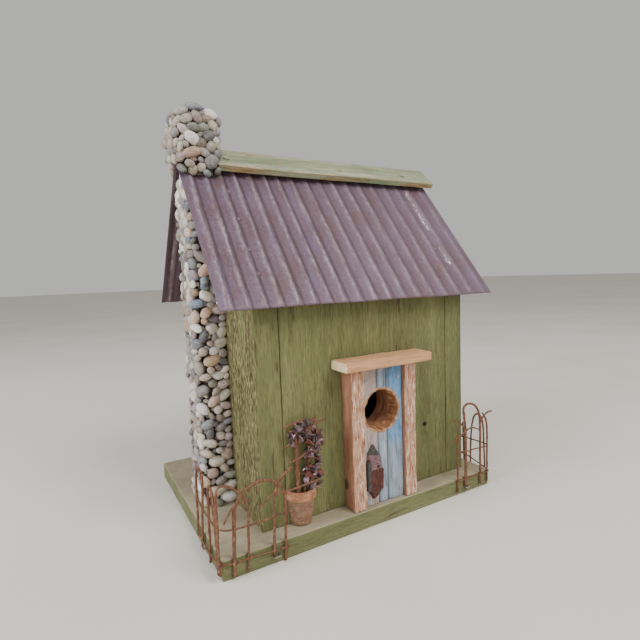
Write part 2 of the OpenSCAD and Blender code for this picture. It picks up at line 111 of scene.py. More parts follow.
def linear(rgb):
    """A colour given as 0 to 255 values, as the linear one that shaders use: each channel is
    divided by 12.92 below 0.04045, and above it raised to 2.4 after 0.055 is added."""
    c = np.array(rgb, float) / 255
    return np.where(c <= 0.04045, c / 12.92, ((c + 0.055) / 1.055) ** 2.4)


def node(tree, kind, inputs=None, **settings):
    """Adds one shader node.  Each input gets a number or another node's output."""
    made = tree.nodes.new(kind)
    for name, value in settings.items():
        setattr(made, name, value)
    for name, value in (inputs or {}).items():
        if isinstance(value, bpy.types.NodeSocket):
            tree.links.new(value, made.inputs[name])
        else:
            made.inputs[name].default_value = value
    return made


def new_finish(name, roughness=0.8, metallic=0.0, specular=0.4):
    """A material with one Principled shader, and the two are returned with the node tree."""
    made = bpy.data.materials.new(name)
    made.use_nodes = True
    shader = made.node_tree.nodes["Principled BSDF"]
    shader.inputs["Roughness"].default_value = roughness
    shader.inputs["Metallic"].default_value = metallic
    shader.inputs["Specular IOR Level"].default_value = specular
    return made, made.node_tree, shader


def speckle(tree, stretch, detail=4.0, rough=0.6, seed=0.0):
    """Noise over the object's own coordinates, each axis multiplied by stretch, so a small
    number gives long streaks along that axis; seed shifts the pattern."""
    where = node(tree, "ShaderNodeTexCoord").outputs["Object"]
    placed = node(tree, "ShaderNodeMapping", {"Vector": where, "Location": (seed, seed * 0.7, seed * 1.3),
                                              "Scale": stretch}).outputs["Vector"]
    return node(tree, "ShaderNodeTexNoise", {"Vector": placed, "Scale": 1.0, "Detail": detail,
                                             "Roughness": rough}).outputs["Fac"]


def ramp(tree, fac, stops):
    """A colour ramp.  Its stops are (place, colour as 0 to 255 values), or three colours
    alone, which lie at 0.3, 0.5 and 0.7."""
    if len(stops[0]) == 3:
        stops = list(zip((0.3, 0.5, 0.7), stops))
    made = node(tree, "ShaderNodeValToRGB", {"Fac": fac})
    steps = made.color_ramp.elements
    while len(steps) < len(stops):
        steps.new(0.5)
    for step, (place, rgb) in zip(steps, stops):
        step.position = place
        step.color = (*linear(rgb), 1)
    return made.outputs["Color"]


def between(tree, value, low, high):
    """0 where value is under low, 1 where it is over high, and smooth from one to the other."""
    return node(tree, "ShaderNodeMapRange", {"Value": value, "From Min": low, "From Max": high},
                interpolation_type="SMOOTHSTEP").outputs["Result"]


def maths(tree, operation, a, b=0.0):
    """Simple arithmetic on two values."""
    return node(tree, "ShaderNodeMath", {0: a, 1: b}, operation=operation).outputs[0]


def plus(tree, a, b):
    """The sum of two values."""
    return maths(tree, "ADD", a, b)


def times(tree, a, b):
    """The product of two values."""
    return maths(tree, "MULTIPLY", a, b)


def cover(tree, under, top, where, share=None, way="MIX"):
    """Lays a top colour over the one under it, by where, from 0 to 1, times a share."""
    if share is not None:
        where = times(tree, where, share)
    made = node(tree, "ShaderNodeMix", {"Factor": where}, data_type="RGBA", blend_type=way)
    for socket, colour in ((6, under), (7, top)):
        if isinstance(colour, bpy.types.NodeSocket):
            tree.links.new(colour, made.inputs[socket])
        else:
            made.inputs[socket].default_value = (*linear(colour), 1)
    return made.outputs[2]


def dress(tree, shader, colour, height=None, depth=0.0, rough=None):
    """Gives a shader its colour, raises its surface by height times depth, in metres, and
    spreads its roughness between two values by a pattern."""
    tree.links.new(colour, shader.inputs["Base Color"])
    if rough is not None:
        pattern, low, high = rough
        drawn_out = node(tree, "ShaderNodeMapRange", {"Value": pattern, "To Min": low, "To Max": high})
        tree.links.new(drawn_out.outputs["Result"], shader.inputs["Roughness"])
    if height is not None:
        raised = node(tree, "ShaderNodeBump", {"Height": height, "Distance": depth, "Strength": 1.0})
        tree.links.new(raised.outputs["Normal"], shader.inputs["Normal"])


def speckled_finish(name, colour_grain, stops, bump_grain, depth, roughness, metallic=0.0, specular=0.4):
    """A finish of one speckled colour ramp over one speckled bump.  Each grain is a stretch,
    detail, roughness and seed of speckle; with no bump grain the colour's is used again."""
    made, tree, shader = new_finish(name, roughness, metallic, specular)
    pattern = speckle(tree, *colour_grain)
    raised = pattern if bump_grain is None else speckle(tree, *bump_grain)
    dress(tree, shader, ramp(tree, pattern, stops), raised, depth)
    return made


table_span = 12.0
edge = np.linspace(-table_span, table_span, 3)
gx, gy = np.meshgrid(edge, edge)
table_mesh = bpy.data.meshes.new("table")
table_mesh.from_pydata(np.stack([gx, gy, gx * 0], -1).reshape(-1, 3).tolist(), [],
                       [(0, 1, 4, 3), (1, 2, 5, 4), (3, 4, 7, 6), (4, 5, 8, 7)])
table = put_in("table", table_mesh)
table_finish, tree, shader = new_finish("pale_table", 0.9)
shade = ramp(tree, speckle(tree, (3, 3, 3), 2), [(0.3, (214, 208, 199)), (0.7, (222, 217, 209))])
dress(tree, shader, shade)
table_mesh.materials.append(table_finish)

# ---------------------------------------------------------------------------
# Base board.  A rough-sawn softwood board painted the same green as the walls; its top is
# worn and faded to a grey beige, and paint is rubbed off along its edges.
# ---------------------------------------------------------------------------


def hill(points, seed):
    """Smooth values from -1 to 1: each whole-number corner of space gets a repeatable random
    number, and points in between blend the eight corners of their cell."""
    cell = np.floor(points).astype(np.int64)
    part = points - cell
    part = part * part * (3 - 2 * part)
    total = np.zeros(len(points))
    for corner in np.ndindex(2, 2, 2):
        c = cell + corner
        h = (c[:, 0] * 73856093) ^ (c[:, 1] * 19349663) ^ (c[:, 2] * 83492791) ^ (seed * 40503)
        h = ((h & 0xFFFFFFFF) * 1274126177) & 0xFFFFFFFF
        h = ((h ^ (h >> 15)) * 668265263) & 0xFFFFFFFF
        value = ((h >> 16) & 0xFFFF) / 32767.5 - 1
        total += value * np.prod(np.where(corner, part, 1 - part), axis=1)
    return total


def fit(name, points, faces, finish, finish_slot, body="house", stands_for=(), smooth=True, marks=None):
    """Makes a mesh object from arrays of points and faces, with its values for each point in
    marks, gives it its finish, and lets it ride on a body in place of CAD nodes."""
    mesh = bpy.data.meshes.new(name)
    mesh.from_pydata(np.asarray(points).tolist(), [], faces if isinstance(faces, list) else faces.tolist())
    mesh.polygons.foreach_set("use_smooth", np.full(len(mesh.polygons), smooth))
    for mark, values in (marks or {}).items():
        values = np.asarray(values, np.float32)
        if values.ndim == 1:
            mesh.attributes.new(mark, "FLOAT", "POINT").data.foreach_set("value", values)
        else:
            rgba = np.concatenate([values, np.ones((len(values), 1), np.float32)], 1)
            mesh.attributes.new(mark, "FLOAT_COLOR", "POINT").data.foreach_set("color", rgba.ravel())
    mesh.update()
    made = put_in(name, mesh)
    mesh.materials.append(finish)
    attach(made, body)
    if stands_for:
        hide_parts(*stands_for)
    return made


def cuts(low, high, cell, round_r):
    """Places along one side of a board: even cells, with closer ones in the rounded edges."""
    near = round_r * np.array([0, 0.25, 0.6, 1.0, 1.7])
    inner = np.linspace(low + near[-1], high - near[-1], max(2, int((high - low) / cell)) + 1)
    return np.concatenate([low + near[:-1], inner, high - near[:-1][::-1]])


def board(low, high, cell, round_r, fuzz, stretch, seed, top=None):
    """A sawn board as a box surface cut into cells.  Near an edge the faces curve in on a
    quarter circle of radius round_r; everywhere the surface sinks by up to fuzz, by noise
    drawn out along the grain.  top lifts the board to a height that depends on x and y.
    Returns points, faces and how worn each point is."""
    low, high = np.array(low, float), np.array(high, float)
    lines = [cuts(low[a], high[a], cell[a], round_r) for a in range(3)]
    n = [len(l) for l in lines]
    quads = []
    for a in range(3):
        b, c = (a + 1) % 3, (a + 2) % 3
        i, j = np.meshgrid(np.arange(n[b] - 1), np.arange(n[c] - 1), indexing="ij")
        for end in (0, n[a] - 1):
            loop = [(0, 0), (1, 0), (1, 1), (0, 1)] if end else [(0, 0), (0, 1), (1, 1), (1, 0)]
            four = np.zeros((i.size, 4, 3), np.int64)
            for k, (di, dj) in enumerate(loop):
                four[:, k, a] = end
                four[:, k, b] = (i + di).ravel()
                four[:, k, c] = (j + dj).ravel()
            quads.append(four)
    quads = np.concatenate(quads)
    key = (quads[..., 0] * 4096 + quads[..., 1]) * 4096 + quads[..., 2]
    used, faces = np.unique(key.ravel(), return_inverse=True)
    faces = faces.reshape(-1, 4)
    ijk = np.stack([used >> 24, (used >> 12) & 4095, used & 4095], 1)
    points = np.stack([lines[a][ijk[:, a]] for a in range(3)], 1)
    inward = np.stack([(ijk[:, a] == 0) * 1.0 - (ijk[:, a] == n[a] - 1) * 1.0 for a in range(3)], 1)
    gap = np.stack([np.minimum(points[:, a] - low[a], high[a] - points[:, a]) for a in range(3)], 1)
    centre = np.clip(points, low + round_r, high - round_r)
    away = points - centre
    length = np.linalg.norm(away, axis=1, keepdims=True)
    points = np.where(length > 1e-9, centre + away / np.maximum(length, 1e-9) * round_r, points)
    second = np.sort(gap, axis=1)[:, 1]
    worn = np.clip(1 - second / (3 * round_r), 0, 1)
    drawn = points * np.array(stretch) * 1000
    sink = fuzz * (0.5 + 0.5 * (0.6 * hill(drawn, seed) + 0.4 * hill(drawn * 2.3, seed + 7)))
    points = points + inward * sink[:, None]
    if top is not None:
        share = (points[:, 2] - low[2]) / (high[2] - low[2])
        points[:, 2] = low[2] + share * (top(points[:, 0], points[:, 1]) - low[2])
    return points, faces, worn


def sawn(node_name, cell, round_r, fuzz, grain, seed, top=None):
    """The lowest and highest corners of a CAD board, and the sawn board that fills its box."""
    low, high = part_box(node_name)
    return low, high, *board(low, high, cell, round_r, fuzz, grain, seed, top)


def mark_of(tree, name, kind="Fac"):
    """A value, or a colour, that a mesh carries at each of its points."""
    return node(tree, "ShaderNodeAttribute", attribute_name=name).outputs[kind]


def painted_wood(name, stretch, paint, pores, bare, wear, depth=0.0004, seed=0.0, faded=None):
    """Thin paint on sawn wood: paint colours drawn out along the grain, dark pore lines, and
    bare wood where the wear mark plus noise passes a limit, or drilled wood where the mark
    is over 4, its brown made darker as painted shade in the bore.  faded is (axis, from, to,
    colours), a second coat past a place on an axis."""
    made, tree, shader = new_finish(name, 0.82, specular=0.3)
    s = np.array(stretch) * 1000
    broad = speckle(tree, tuple(s * 0.06), 5, 0.65, seed)
    fine = speckle(tree, tuple(s * 0.9), 3, 0.7, seed + 3)
    cracks = speckle(tree, tuple(s * 0.33), 6, 0.75, seed + 9)
    colour = ramp(tree, broad, paint[:3])
    colour = cover(tree, colour, paint[3], between(tree, fine, 0.35, 0.75), 0.55)
    colour = cover(tree, colour, pores, between(tree, cracks, 0.44, 0.34), 0.75)
    hair = speckle(tree, tuple(s * 2.2), 2, 0.6, seed + 31)
    colour = cover(tree, colour, pores, between(tree, hair, 0.50, 0.32), 0.42)
    colour = cover(tree, colour, bare[1], between(tree, hair, 0.58, 0.72), 0.30)
    if faded is not None:
        axis, start, stop, colours = faded
        where = node(tree, "ShaderNodeSeparateXYZ", {0: node(tree, "ShaderNodeTexCoord").outputs["Object"]})
        past = between(tree, where.outputs[axis], start, stop)
        blotch = speckle(tree, (40, 40, 40), 6, 0.7, seed + 21)
        coat = ramp(tree, blotch, [(0.35, colours[0]), (0.55, colours[1]), (0.7, colours[2])])
        coat = cover(tree, coat, colours[3], between(tree, fine, 0.3, 0.7), 0.4)
        colour = cover(tree, colour, coat, past)
    mark = mark_of(tree, "worn")
    scatter = speckle(tree, tuple(s * 0.22), 5, 0.7, seed + 15)
    shown = between(tree, plus(tree, times(tree, mark, wear), scatter), 0.78, 0.98)
    bare_colour = ramp(tree, speckle(tree, tuple(s * 0.4), 4, 0.6, seed + 5), bare)
    colour = cover(tree, colour, bare_colour, shown)
    # inside drilled holes: raw drilled wood, painted a darker brown as painted shade in the bore
    drilled_wood_and_shade = ramp(tree, scatter, [(108, 70, 48), (146, 102, 74), (176, 136, 106)])
    colour = cover(tree, colour, drilled_wood_and_shade, between(tree, mark, 4.0, 5.0))
    height = plus(tree, plus(tree, times(tree, fine, 0.5), cracks), times(tree, hair, 0.35))
    dress(tree, shader, colour, height, depth)
    return made


base_finish = painted_wood(
    "faded_base_paint", (0.05, 0.8, 0.8),
    [(98, 100, 64), (114, 115, 78), (131, 130, 93), (90, 94, 60)], (58, 54, 36),
    [(150, 132, 96), (172, 154, 116), (190, 172, 134)], 0.35, 0.0004, 2.0,
    faded=("Z", 0.0150, 0.0158, [(150, 140, 116), (168, 156, 132), (184, 172, 148), (130, 122, 98)]))
_, base_high, points, faces, worn = sawn("base_board", (0.0035, 0.0035, 0.0035), 0.0011, 0.0004,
                                         (0.03, 0.35, 0.35), 3)
fit("base_board_sawn", points, faces, base_finish, "base_paint", stands_for=["base_board"],
    marks={"worn": worn})

# ---------------------------------------------------------------------------
# Walls.  Two gable boards and two wall boards of rough-sawn softwood, stained olive green
# with the grain upright, nailed together; the left gable is the roughest from the saw.
# ---------------------------------------------------------------------------
roof_pitch = math.radians(51.2)
roof_thickness = 0.0029
under_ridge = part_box("left_gable")[1][2]
hole_centre = np.array([0.0105, 0.0995])
hole_radius = 0.018
nest_half_width, nest_half_depth = 0.0896, 0.0688
upright_grain = (0.5, 0.5, 0.02)


def under_roof(x, y):
    """Height of the tin's underside: it falls from the ridge by the roof's slope."""
    return under_ridge - np.abs(y) * math.tan(roof_pitch)


wall_colours = [(88, 93, 57), (109, 112, 71), (130, 129, 86), (86, 90, 55)]
bare_wood = [(150, 116, 78), (178, 143, 101), (202, 170, 126)]
wall_finish = painted_wood("green_wall_paint", (0.75, 0.75, 0.06), wall_colours, (66, 40, 26),
                           bare_wood, 0.30, 0.00045, 4.0)


def inside_house(points):
    """1 for points on the faces that the nest cavity sees, which were never painted."""
    x, y = np.abs(points[:, 0] - hole_centre[0]), np.abs(points[:, 1])
    return ((x < nest_half_width) & (y < nest_half_depth)).astype(float)


def hill_at(x, y, z, seed):
    """The smooth values at places given by three arrays, in the shape that they make together."""
    x, y, z = np.broadcast_arrays(x, y, z)
    return hill(np.stack([x.ravel(), y.ravel(), z.ravel()], 1), seed).reshape(x.shape)


# the left gable's outer face was never planed: it has saw ridges and rows of torn pores,
# with painted shade in the saw grooves and a painted highlight on the ridge tips
outer_from, outer_to = -0.0993, -0.1000
rough_gable_finish = painted_wood(
    "rough_gable_paint", (0.75, 0.75, 0.06), wall_colours, (66, 40, 26), bare_wood, 0.30, 0.0006, 4.0,
    faded=("X", outer_from, outer_to, [(102, 99, 60), (122, 117, 74), (144, 136, 94), (80, 74, 44)]))
tree = rough_gable_finish.node_tree
shader = tree.nodes["Principled BSDF"]
painted = shader.inputs["Base Color"].links[0].from_socket
ridges = speckle(tree, (430, 430, 150), 3, 0.7, 51.0)
comb_lines = speckle(tree, (300, 300, 18), 3, 0.7, 55.0)
where = node(tree, "ShaderNodeSeparateXYZ", {0: node(tree, "ShaderNodeTexCoord").outputs["Object"]})
outer = between(tree, where.outputs["X"], outer_from, outer_to)
# dark lines are torn pores plus painted shade in the saw grooves; pale ridge tips are a painted highlight
dark = maths(tree, "MAXIMUM", between(tree, ridges, 0.50, 0.42), between(tree, comb_lines, 0.46, 0.40))
rough_face = cover(tree, painted, (58, 42, 24), times(tree, dark, outer), 0.85)
ridge_highlight = times(tree, between(tree, ridges, 0.56, 0.66), outer)
dress(tree, shader, cover(tree, rough_face, (186, 174, 126), ridge_highlight, 0.6))
for node_name, seed, finish in (("left_gable", 11, rough_gable_finish), ("right_gable", 17, wall_finish)):
    low, high, points, faces, worn = sawn(node_name, (0.004, 0.0045, 0.006), 0.0009, 0.0005,
                                          upright_grain, seed, under_roof)
    if node_name == "left_gable":
        strip = points[:, 0] < low[0] + 0.0007
        comb = hill_at(0, points[:, 1] * 420, points[:, 2] * 16, 77)
        points[:, 0] += 0.0006 * strip * (0.5 + 0.5 * comb)
    fit(node_name + "_sawn", points, faces, finish, "wall_paint", stands_for=[node_name],
        marks={"worn": np.maximum(worn * 0.8, 3 * inside_house(points))})


def cut(piece, tool):
    """Takes a cutter's shape out of a piece and leaves the result as its plain mesh."""
    step = piece.modifiers.new("cut", "BOOLEAN")
    step.object, step.operation, step.solver = tool, "DIFFERENCE", "EXACT"
    bpy.context.view_layer.update()
    result = bpy.data.meshes.new_from_object(piece.evaluated_get(bpy.context.evaluated_depsgraph_get()))
    piece.modifiers.clear()
    piece.data = result
    bpy.data.objects.remove(tool)


def lattice(rows, cols, loop=False):
    """Faces of a grid of points listed row by row; loop joins the last column to the first."""
    i, j = np.meshgrid(np.arange(rows - 1), np.arange(cols if loop else cols - 1), indexing="ij")
    a, b = (i * cols + j).ravel(), (i * cols + (j + 1) % cols).ravel()
    return np.stack([a, b, b + cols, a + cols], 1)


def closed_rings(rings, around):
    """Faces of equal rings of points, shut by the two points listed after them: one before
    the first ring and one past the last."""
    k = np.arange(around)
    nxt, last, foot = (k + 1) % around, (rings - 1) * around, np.full(around, rings * around)
    ends = np.concatenate([np.stack([foot, nxt, k], 1), np.stack([foot + 1, last + k, last + nxt], 1)])
    return lattice(rings, around, True).tolist() + ends.tolist()


def cutter(name, points, faces):
    """A closed shape that only serves to be cut out of a piece."""
    mesh = bpy.data.meshes.new(name)
    mesh.from_pydata(points.tolist(), [], faces)
    return put_in(name, mesh)


def drill(name, centre, radius, y_from, y_to, rag, seed, around=96):
    """A cutter for a hole along Y: circles whose radius is the drill's plus a ragged noise
    that grows towards the front end, closed by a point at each end."""
    rings = 9
    t = np.linspace(0, 1, rings)[:, None]
    a = np.linspace(0, 2 * math.pi, around, endpoint=False)
    x, z, far = 2.2 * np.cos(a), 2.2 * np.sin(a), 3 * t
    coarse = hill_at(x * 1.6, z * 1.6, far * 1.6, seed)
    fine = hill_at(x * 5, z * 5, far * 5, seed + 1)
    r = radius + rag * (0.5 * coarse + 0.5 * fine) * (0.3 + 0.7 * (1 - t))
    y = y_from + (y_to - y_from) * t + 0 * a
    sides = np.stack([centre[0] + r * np.cos(a), y, centre[1] + r * np.sin(a)], -1).reshape(-1, 3)
    points = np.concatenate([sides, [[centre[0], y_from, centre[1]], [centre[0], y_to, centre[1]]]])
    return cutter(name, points, [face[::-1] for face in closed_rings(rings, around)])


def remark(piece, centre, radius):
    """Marks as drilled wood, by the value 6, every point within a radius of a hole's line."""
    mesh = piece.data
    p = np.empty(len(mesh.vertices) * 3, np.float32)
    mesh.vertices.foreach_get("co", p)
    p = p.reshape(-1, 3)
    marks = mesh.attributes["worn"]
    w = np.empty(len(p), np.float32)
    marks.data.foreach_get("value", w)
    reach = np.hypot(p[:, 0] - centre[0], p[:, 2] - centre[1])
    marks.data.foreach_set("value", np.where(reach < radius * 1.02, 6.0, w).astype(np.float32))


def wall(node_name, cell, seed, inner_end):
    """A wall board, bare on the face towards the nest, which lies at its low or high end in
    Y.  A Y just before the board and one just behind it are returned for its cutters."""
    low, high, points, faces, worn = sawn(node_name, cell, 0.0011, 0.0005, upright_grain, seed, under_roof)
    inner = np.abs(points[:, 1] - (low, high)[inner_end][1]) < 0.0015
    piece = fit(node_name + "_sawn", points, faces, wall_finish, "wall_paint", stands_for=[node_name],
                marks={"worn": np.maximum(worn * 0.7, 3.0 * inner)})
    return piece, low[1] - 0.002, high[1] + 0.002


front_wall, before, behind = wall("front_wall", (0.0025, 0.0045, 0.0025), 23, 1)
cut(front_wall, drill("wall_drill", hole_centre, hole_radius, before, behind, 0.0002, 5))
vent_centre, vent_radius = (0.0715, 0.071), 0.0023
cut(front_wall, drill("vent_drill", vent_centre, vent_radius, before, behind, 0.0003, 6, 24))
remark(front_wall, hole_centre, hole_radius)

back_wall, before, behind = wall("back_wall", (0.004, 0.0045, 0.005), 29, 0)
port_left, port_right, port_foot, port_top = -0.017, 0.038, 0.044, 0.099
port_points, port_faces, _ = board((port_left, before, port_foot), (port_right, behind, port_top),
                                   (0.02, 0.02, 0.02), 0.0003, 0.0, (1, 1, 1), 1)
cut(back_wall, cutter("port", port_points, port_faces.tolist()))

# ---------------------------------------------------------------------------
# Roof.  Two sheets of old corrugated tin, painted a purple brown, nailed down to the
# gables; the paint has streaked, chalked and rusted, and the cut edges are a little paler;
# the crests carry a painted highlight and the flanks beside them painted shade.
# ---------------------------------------------------------------------------
ridge = np.array([0.0, 0.0, 0.3278])
tin_low, tin_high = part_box("front_tin")
slope_start, slope_end = 0.0041, 0.1684
groove_steps = np.array([14.6, 13.2, 13.0, 13.4, 16.0, 13.6, 12.8, 15.2, 15.6, 14.8, 16.4, 15.6,
                         16.8, 15.8, 17.4, 16.6, 17.6, 17.8])
grooves = tin_low[0] + np.concatenate([[0], np.cumsum(groove_steps)]) / groove_steps.sum() * (
    tin_high[0] - tin_low[0])

tin_finish, tree, shader = new_finish("purple_tin_paint", 0.5, 0.25, 0.45)
streak = speckle(tree, (260, 40, 40), 5, 0.65, 1.0)
cloud = speckle(tree, (26, 18, 18), 5, 0.6, 2.0)
grit = speckle(tree, (700, 420, 420), 4, 0.75, 3.0)
colour = ramp(tree, cloud, [(0.32, (96, 74, 80)), (0.50, (101, 81, 94)), (0.68, (108, 90, 108))])
colour = cover(tree, colour, (60, 42, 46), between(tree, grit, 0.48, 0.30), 0.6)
colour = cover(tree, colour, (150, 130, 140), between(tree, grit, 0.54, 0.70), 0.5)
crest = mark_of(tree, "crest")
flank = mark_of(tree, "flank")
# painted shade: the flank in the lee of each crest is darkened, in streaks
flank_shade = times(tree, flank, between(tree, streak, 0.22, 0.50))
colour = cover(tree, colour, (54, 36, 40), flank_shade, 0.85)
# painted highlight along each crest, in streaks, paler still where chalky grit flecks lie on it
crest_highlight = times(tree, crest, between(tree, streak, 0.30, 0.62))
chalky_highlight = between(tree, speckle(tree, (520, 190, 190), 4, 0.75, 22.0), 0.40, 0.62)
colour = cover(tree, colour, (160, 144, 154), crest_highlight, 0.3)
colour = cover(tree, colour, (190, 176, 178), times(tree, crest_highlight, chalky_highlight), 0.6)
brown = times(tree, between(tree, speckle(tree, (120, 24, 24), 6, 0.7, 6.0), 0.50, 0.66), 0.5)
colour = cover(tree, colour, (100, 70, 64), brown)
violet = times(tree, between(tree, speckle(tree, (150, 30, 30), 5, 0.7, 16.0), 0.52, 0.68), 0.45)
colour = cover(tree, colour, (104, 92, 128), violet)
rust_spot = between(tree, speckle(tree, (260, 150, 150), 6, 0.75, 8.0), 0.62, 0.70)
colour = cover(tree, colour, (110, 66, 52), rust_spot, 0.7)
scar = mark_of(tree, "scar")
flecks = between(tree, speckle(tree, (700, 300, 300), 5, 0.75, 12.0), 0.50, 0.56)
colour = cover(tree, colour, (236, 226, 220), times(tree, scar, flecks))
rim = mark_of(tree, "rim")
colour = cover(tree, colour, (120, 100, 100), rim, 0.3)
dress(tree, shader, colour, plus(tree, grit, times(tree, cloud, 1.5)), 0.0003, (grit, 0.38, 0.64))


def slope_lines(side):
    """The directions down one slope of the roof and square out of it."""
    return (np.array([0, side * math.cos(roof_pitch), -math.sin(roof_pitch)]),
            np.array([0, side * math.sin(roof_pitch), math.cos(roof_pitch)]))


def closed_pair(rows, cols):
    """Faces of one thin sheet: a grid of points listed twice, front skin then back, joined
    round its edge.  The edge's places in the grid are returned too, in order."""
    skin, total = lattice(rows, cols), rows * cols
    edge = np.concatenate([np.arange(cols), np.arange(1, rows) * cols + cols - 1,
                           (rows - 1) * cols + np.arange(cols - 2, -1, -1),
                           np.arange(rows - 2, 0, -1) * cols])
    nxt = np.roll(edge, -1)
    return np.concatenate([skin, skin[:, ::-1] + total,
                           np.stack([edge, edge + total, nxt + total, nxt], 1)]), edge


def tin_sheet(side, seed):
    """A corrugated sheet on a grid of across and down: its height is a bell-shaped ridge in
    the middle of each wave on a shallow cosine, lower towards the right, pressed flat in the
    last tenth by the eave, and shifted by slow noise.  The grid is laid on the roof plane
    twice, half a millimetre apart.  Returns marks for the crests, where a painted highlight
    goes, the flanks in their lee, where painted shade goes, a scratched line on the front
    sheet, and the rim."""
    waves, per_wave, down = 18, 20, 56
    across = waves * per_wave + 1
    uu, vv = np.meshgrid(np.linspace(0, waves, across), np.linspace(0, 1, down), indexing="ij")
    xx = np.interp(uu, np.arange(waves + 1), grooves)
    drift = hill_at(uu * 0.35, vv * 2.0, 0, seed)
    tall = 0.0024 * np.interp(uu, [0, 6, 12, 18], [1.0, 0.85, 0.5, 0.28]) * (0.9 + 0.1 * drift)
    tall = tall * (1 - 0.75 * np.clip((vv - 0.90) / 0.10, 0, 1))
    part = (uu + 0.05 * drift * np.sin(math.pi * uu) ** 2) % 1.0
    crest = np.exp(-((part - 0.5) / 0.15) ** 2)
    flank = np.exp(-((part - 0.78) / 0.09) ** 2) * np.interp(uu, [0, 8, 18], [1.0, 0.8, 0.25])
    wave = 0.3 * (0.5 - 0.5 * np.cos(2 * math.pi * part)) + 0.7 * crest
    scratched = np.interp(hill_at(vv * 9, 0, 0, 5), [-0.1, 0.4], [0, 1]) * (side < 0)
    scar = np.exp(-((xx - 0.1145) / 0.0020) ** 2) * (vv > 0.12) * (vv < 0.78) * scratched
    s = slope_start + (slope_end - slope_start) * vv + 0.0006 * drift * vv - 0.0006 * vv
    height = 0.0001 + wave * tall
    d, n = slope_lines(side)
    layers = []
    for lift in (0.0005, 0.0):
        h = height + lift - roof_thickness
        layer = np.stack([xx, d[1] * s + n[1] * h, ridge[2] + d[2] * s + n[2] * h], -1)
        layers.append(layer.reshape(-1, 3))
    points = np.concatenate(layers)
    faces, edge = closed_pair(across, down)
    at_rim = np.zeros(across * down)
    at_rim[edge] = 1
    lessen = np.interp(uu, [0, 9, 18], [1.0, 0.8, 0.3])
    marks = {"crest": crest * lessen, "flank": flank, "scar": scar, "rim": at_rim}
    faces = faces[:, ::-1] if side > 0 else faces
    return points, faces, {mark: np.tile(values.ravel(), 2) for mark, values in marks.items()}


def turned(outline, around):
    """An outline of radius and height turned about an upright line, from the point at its
    foot to the point at its top."""
    a = np.linspace(0, 2 * math.pi, around, endpoint=False)
    r, h = outline[1:-1, :1], outline[1:-1, 1:]
    rings = np.stack([r * np.cos(a), r * np.sin(a), h + 0 * a], -1).reshape(-1, 3)
    points = np.concatenate([rings, [[0, 0, outline[0, 1]], [0, 0, outline[-1, 1]]]])
    return points, closed_rings(len(outline) - 2, around)


def gather(parts):
    """Joins the points and faces of many shapes into one list of each."""
    points, faces, start = [], [], 0
    for p, f in parts:
        points.append(p)
        faces += [[v + start for v in face] for face in (f if isinstance(f, list) else f.tolist())]
        start += len(p)
    return np.concatenate(points), faces


nail_low, nail_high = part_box("roof_nails")
nail_head = 0.00264
nail_outline = np.array([(0, -19.5), (0.7, -18.4), (1.1, -15), (1.1, -0.5), (2.2, -0.5), (2.35, -0.1),
                         (1.9, 0.25), (1.0, 0.45), (0, 0.5)]) * 0.001
one_nail, one_nail_faces = turned(nail_outline, 14)
nails = []
for node_name, side, seed in (("front_tin", -1, 3), ("back_tin", 1, 8)):
    points, faces, marks = tin_sheet(side, seed)
    fit(node_name + "_sheet", points, faces, tin_finish, "roof_tin", stands_for=[node_name], marks=marks)
    down, out = slope_lines(side)
    top_skin = points[:len(points) // 2]
    run, rise = (top_skin - ridge) @ down, (top_skin - ridge) @ out
    for x in (nail_low[0] + nail_head, nail_high[0] - nail_head):
        for share in (0.25, 0.45, 0.65, 0.8):
            under_head = np.hypot(top_skin[:, 0] - x, run - share * slope_end) < 0.0024
            seat = ridge + np.array([x, 0, 0]) + down * share * slope_end + out * rise[under_head].mean()
            across = np.array([1.0, 0, 0])
            nails.append((one_nail @ np.stack([across, np.cross(out, across), out]) + seat, one_nail_faces))
fit("roof_nails_driven", *gather(nails), tin_finish, "bright_steel", stands_for=["roof_nails"])

# ---------------------------------------------------------------------------
# Ridge boards.  Two thin strips of old green board laid over the top of the tin, flatter
# than the roof, cracked along the grain, with raw yellow edges where they were ripped.
# ---------------------------------------------------------------------------
cap_pitch = math.radians(42)
cap_low, cap_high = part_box("front_ridge_board")
cap_finish = painted_wood(
    "ridge_board_paint", (0.16, 1.7, 1.7),
    [(104, 126, 94), (150, 156, 128), (206, 190, 168), (112, 128, 94)], (88, 66, 50),
    [(104, 90, 60), (148, 122, 84), (178, 150, 114)], 0.60, 0.0005, 7.0)


def ridge_board(side, seed):
    """A thin board worked out lying flat, from the ridge outwards, then bent a little along
    its length and turned down to its slope about the ridge line."""
    points, faces, worn = board((cap_low[0] - 0.0065, 0.0, -0.006), (cap_high[0], 0.029, 0.0),
                                (0.003, 0.0022, 0.002), 0.0007, 0.0006, (0.02, 0.5, 0.5), seed)
    x, u, t = points.T
    u = u * (1 - 0.03 * (0.5 + 0.5 * np.sin(x * 31 + seed)))
    t = t - 0.0004 * (0.5 + 0.5 * np.sin(x * 22 + 1))
    crack = np.exp(-((u - 0.0125 - 0.0012 * np.sin(x * 40)) / 0.0005) ** 2) * (x > 0.01) * (t > -0.002)
    t = t - 0.0012 * crack
    worn = np.where(t < -0.0022, 0.55 + 0.25 * np.sin(x * 60), worn)
    for chip_x, chip_u in ((-0.034, 0.013), (-0.062, 0.006), (0.030, 0.017), (0.071, 0.008)):
        worn = np.maximum(worn, 2.5 * (np.hypot((x - chip_x) / 0.0035, (u - chip_u) / 0.0012) < 1))
    y = side * (u * math.cos(cap_pitch) + t * math.sin(cap_pitch))
    z = cap_high[2] - u * math.sin(cap_pitch) + t * math.cos(cap_pitch)
    if side < 0:
        faces = faces[:, ::-1]
    y = np.where(side * y < 0, 0, y)
    return np.stack([x, y, z], 1), faces, worn


for node_name, side, seed in (("front_ridge_board", -1, 31), ("back_ridge_board", 1, 37)):
    points, faces, worn = ridge_board(side, seed)
    fit(node_name + "_worn", points, faces, cap_finish, "ridge_paint", stands_for=[node_name],
        marks={"worn": worn})

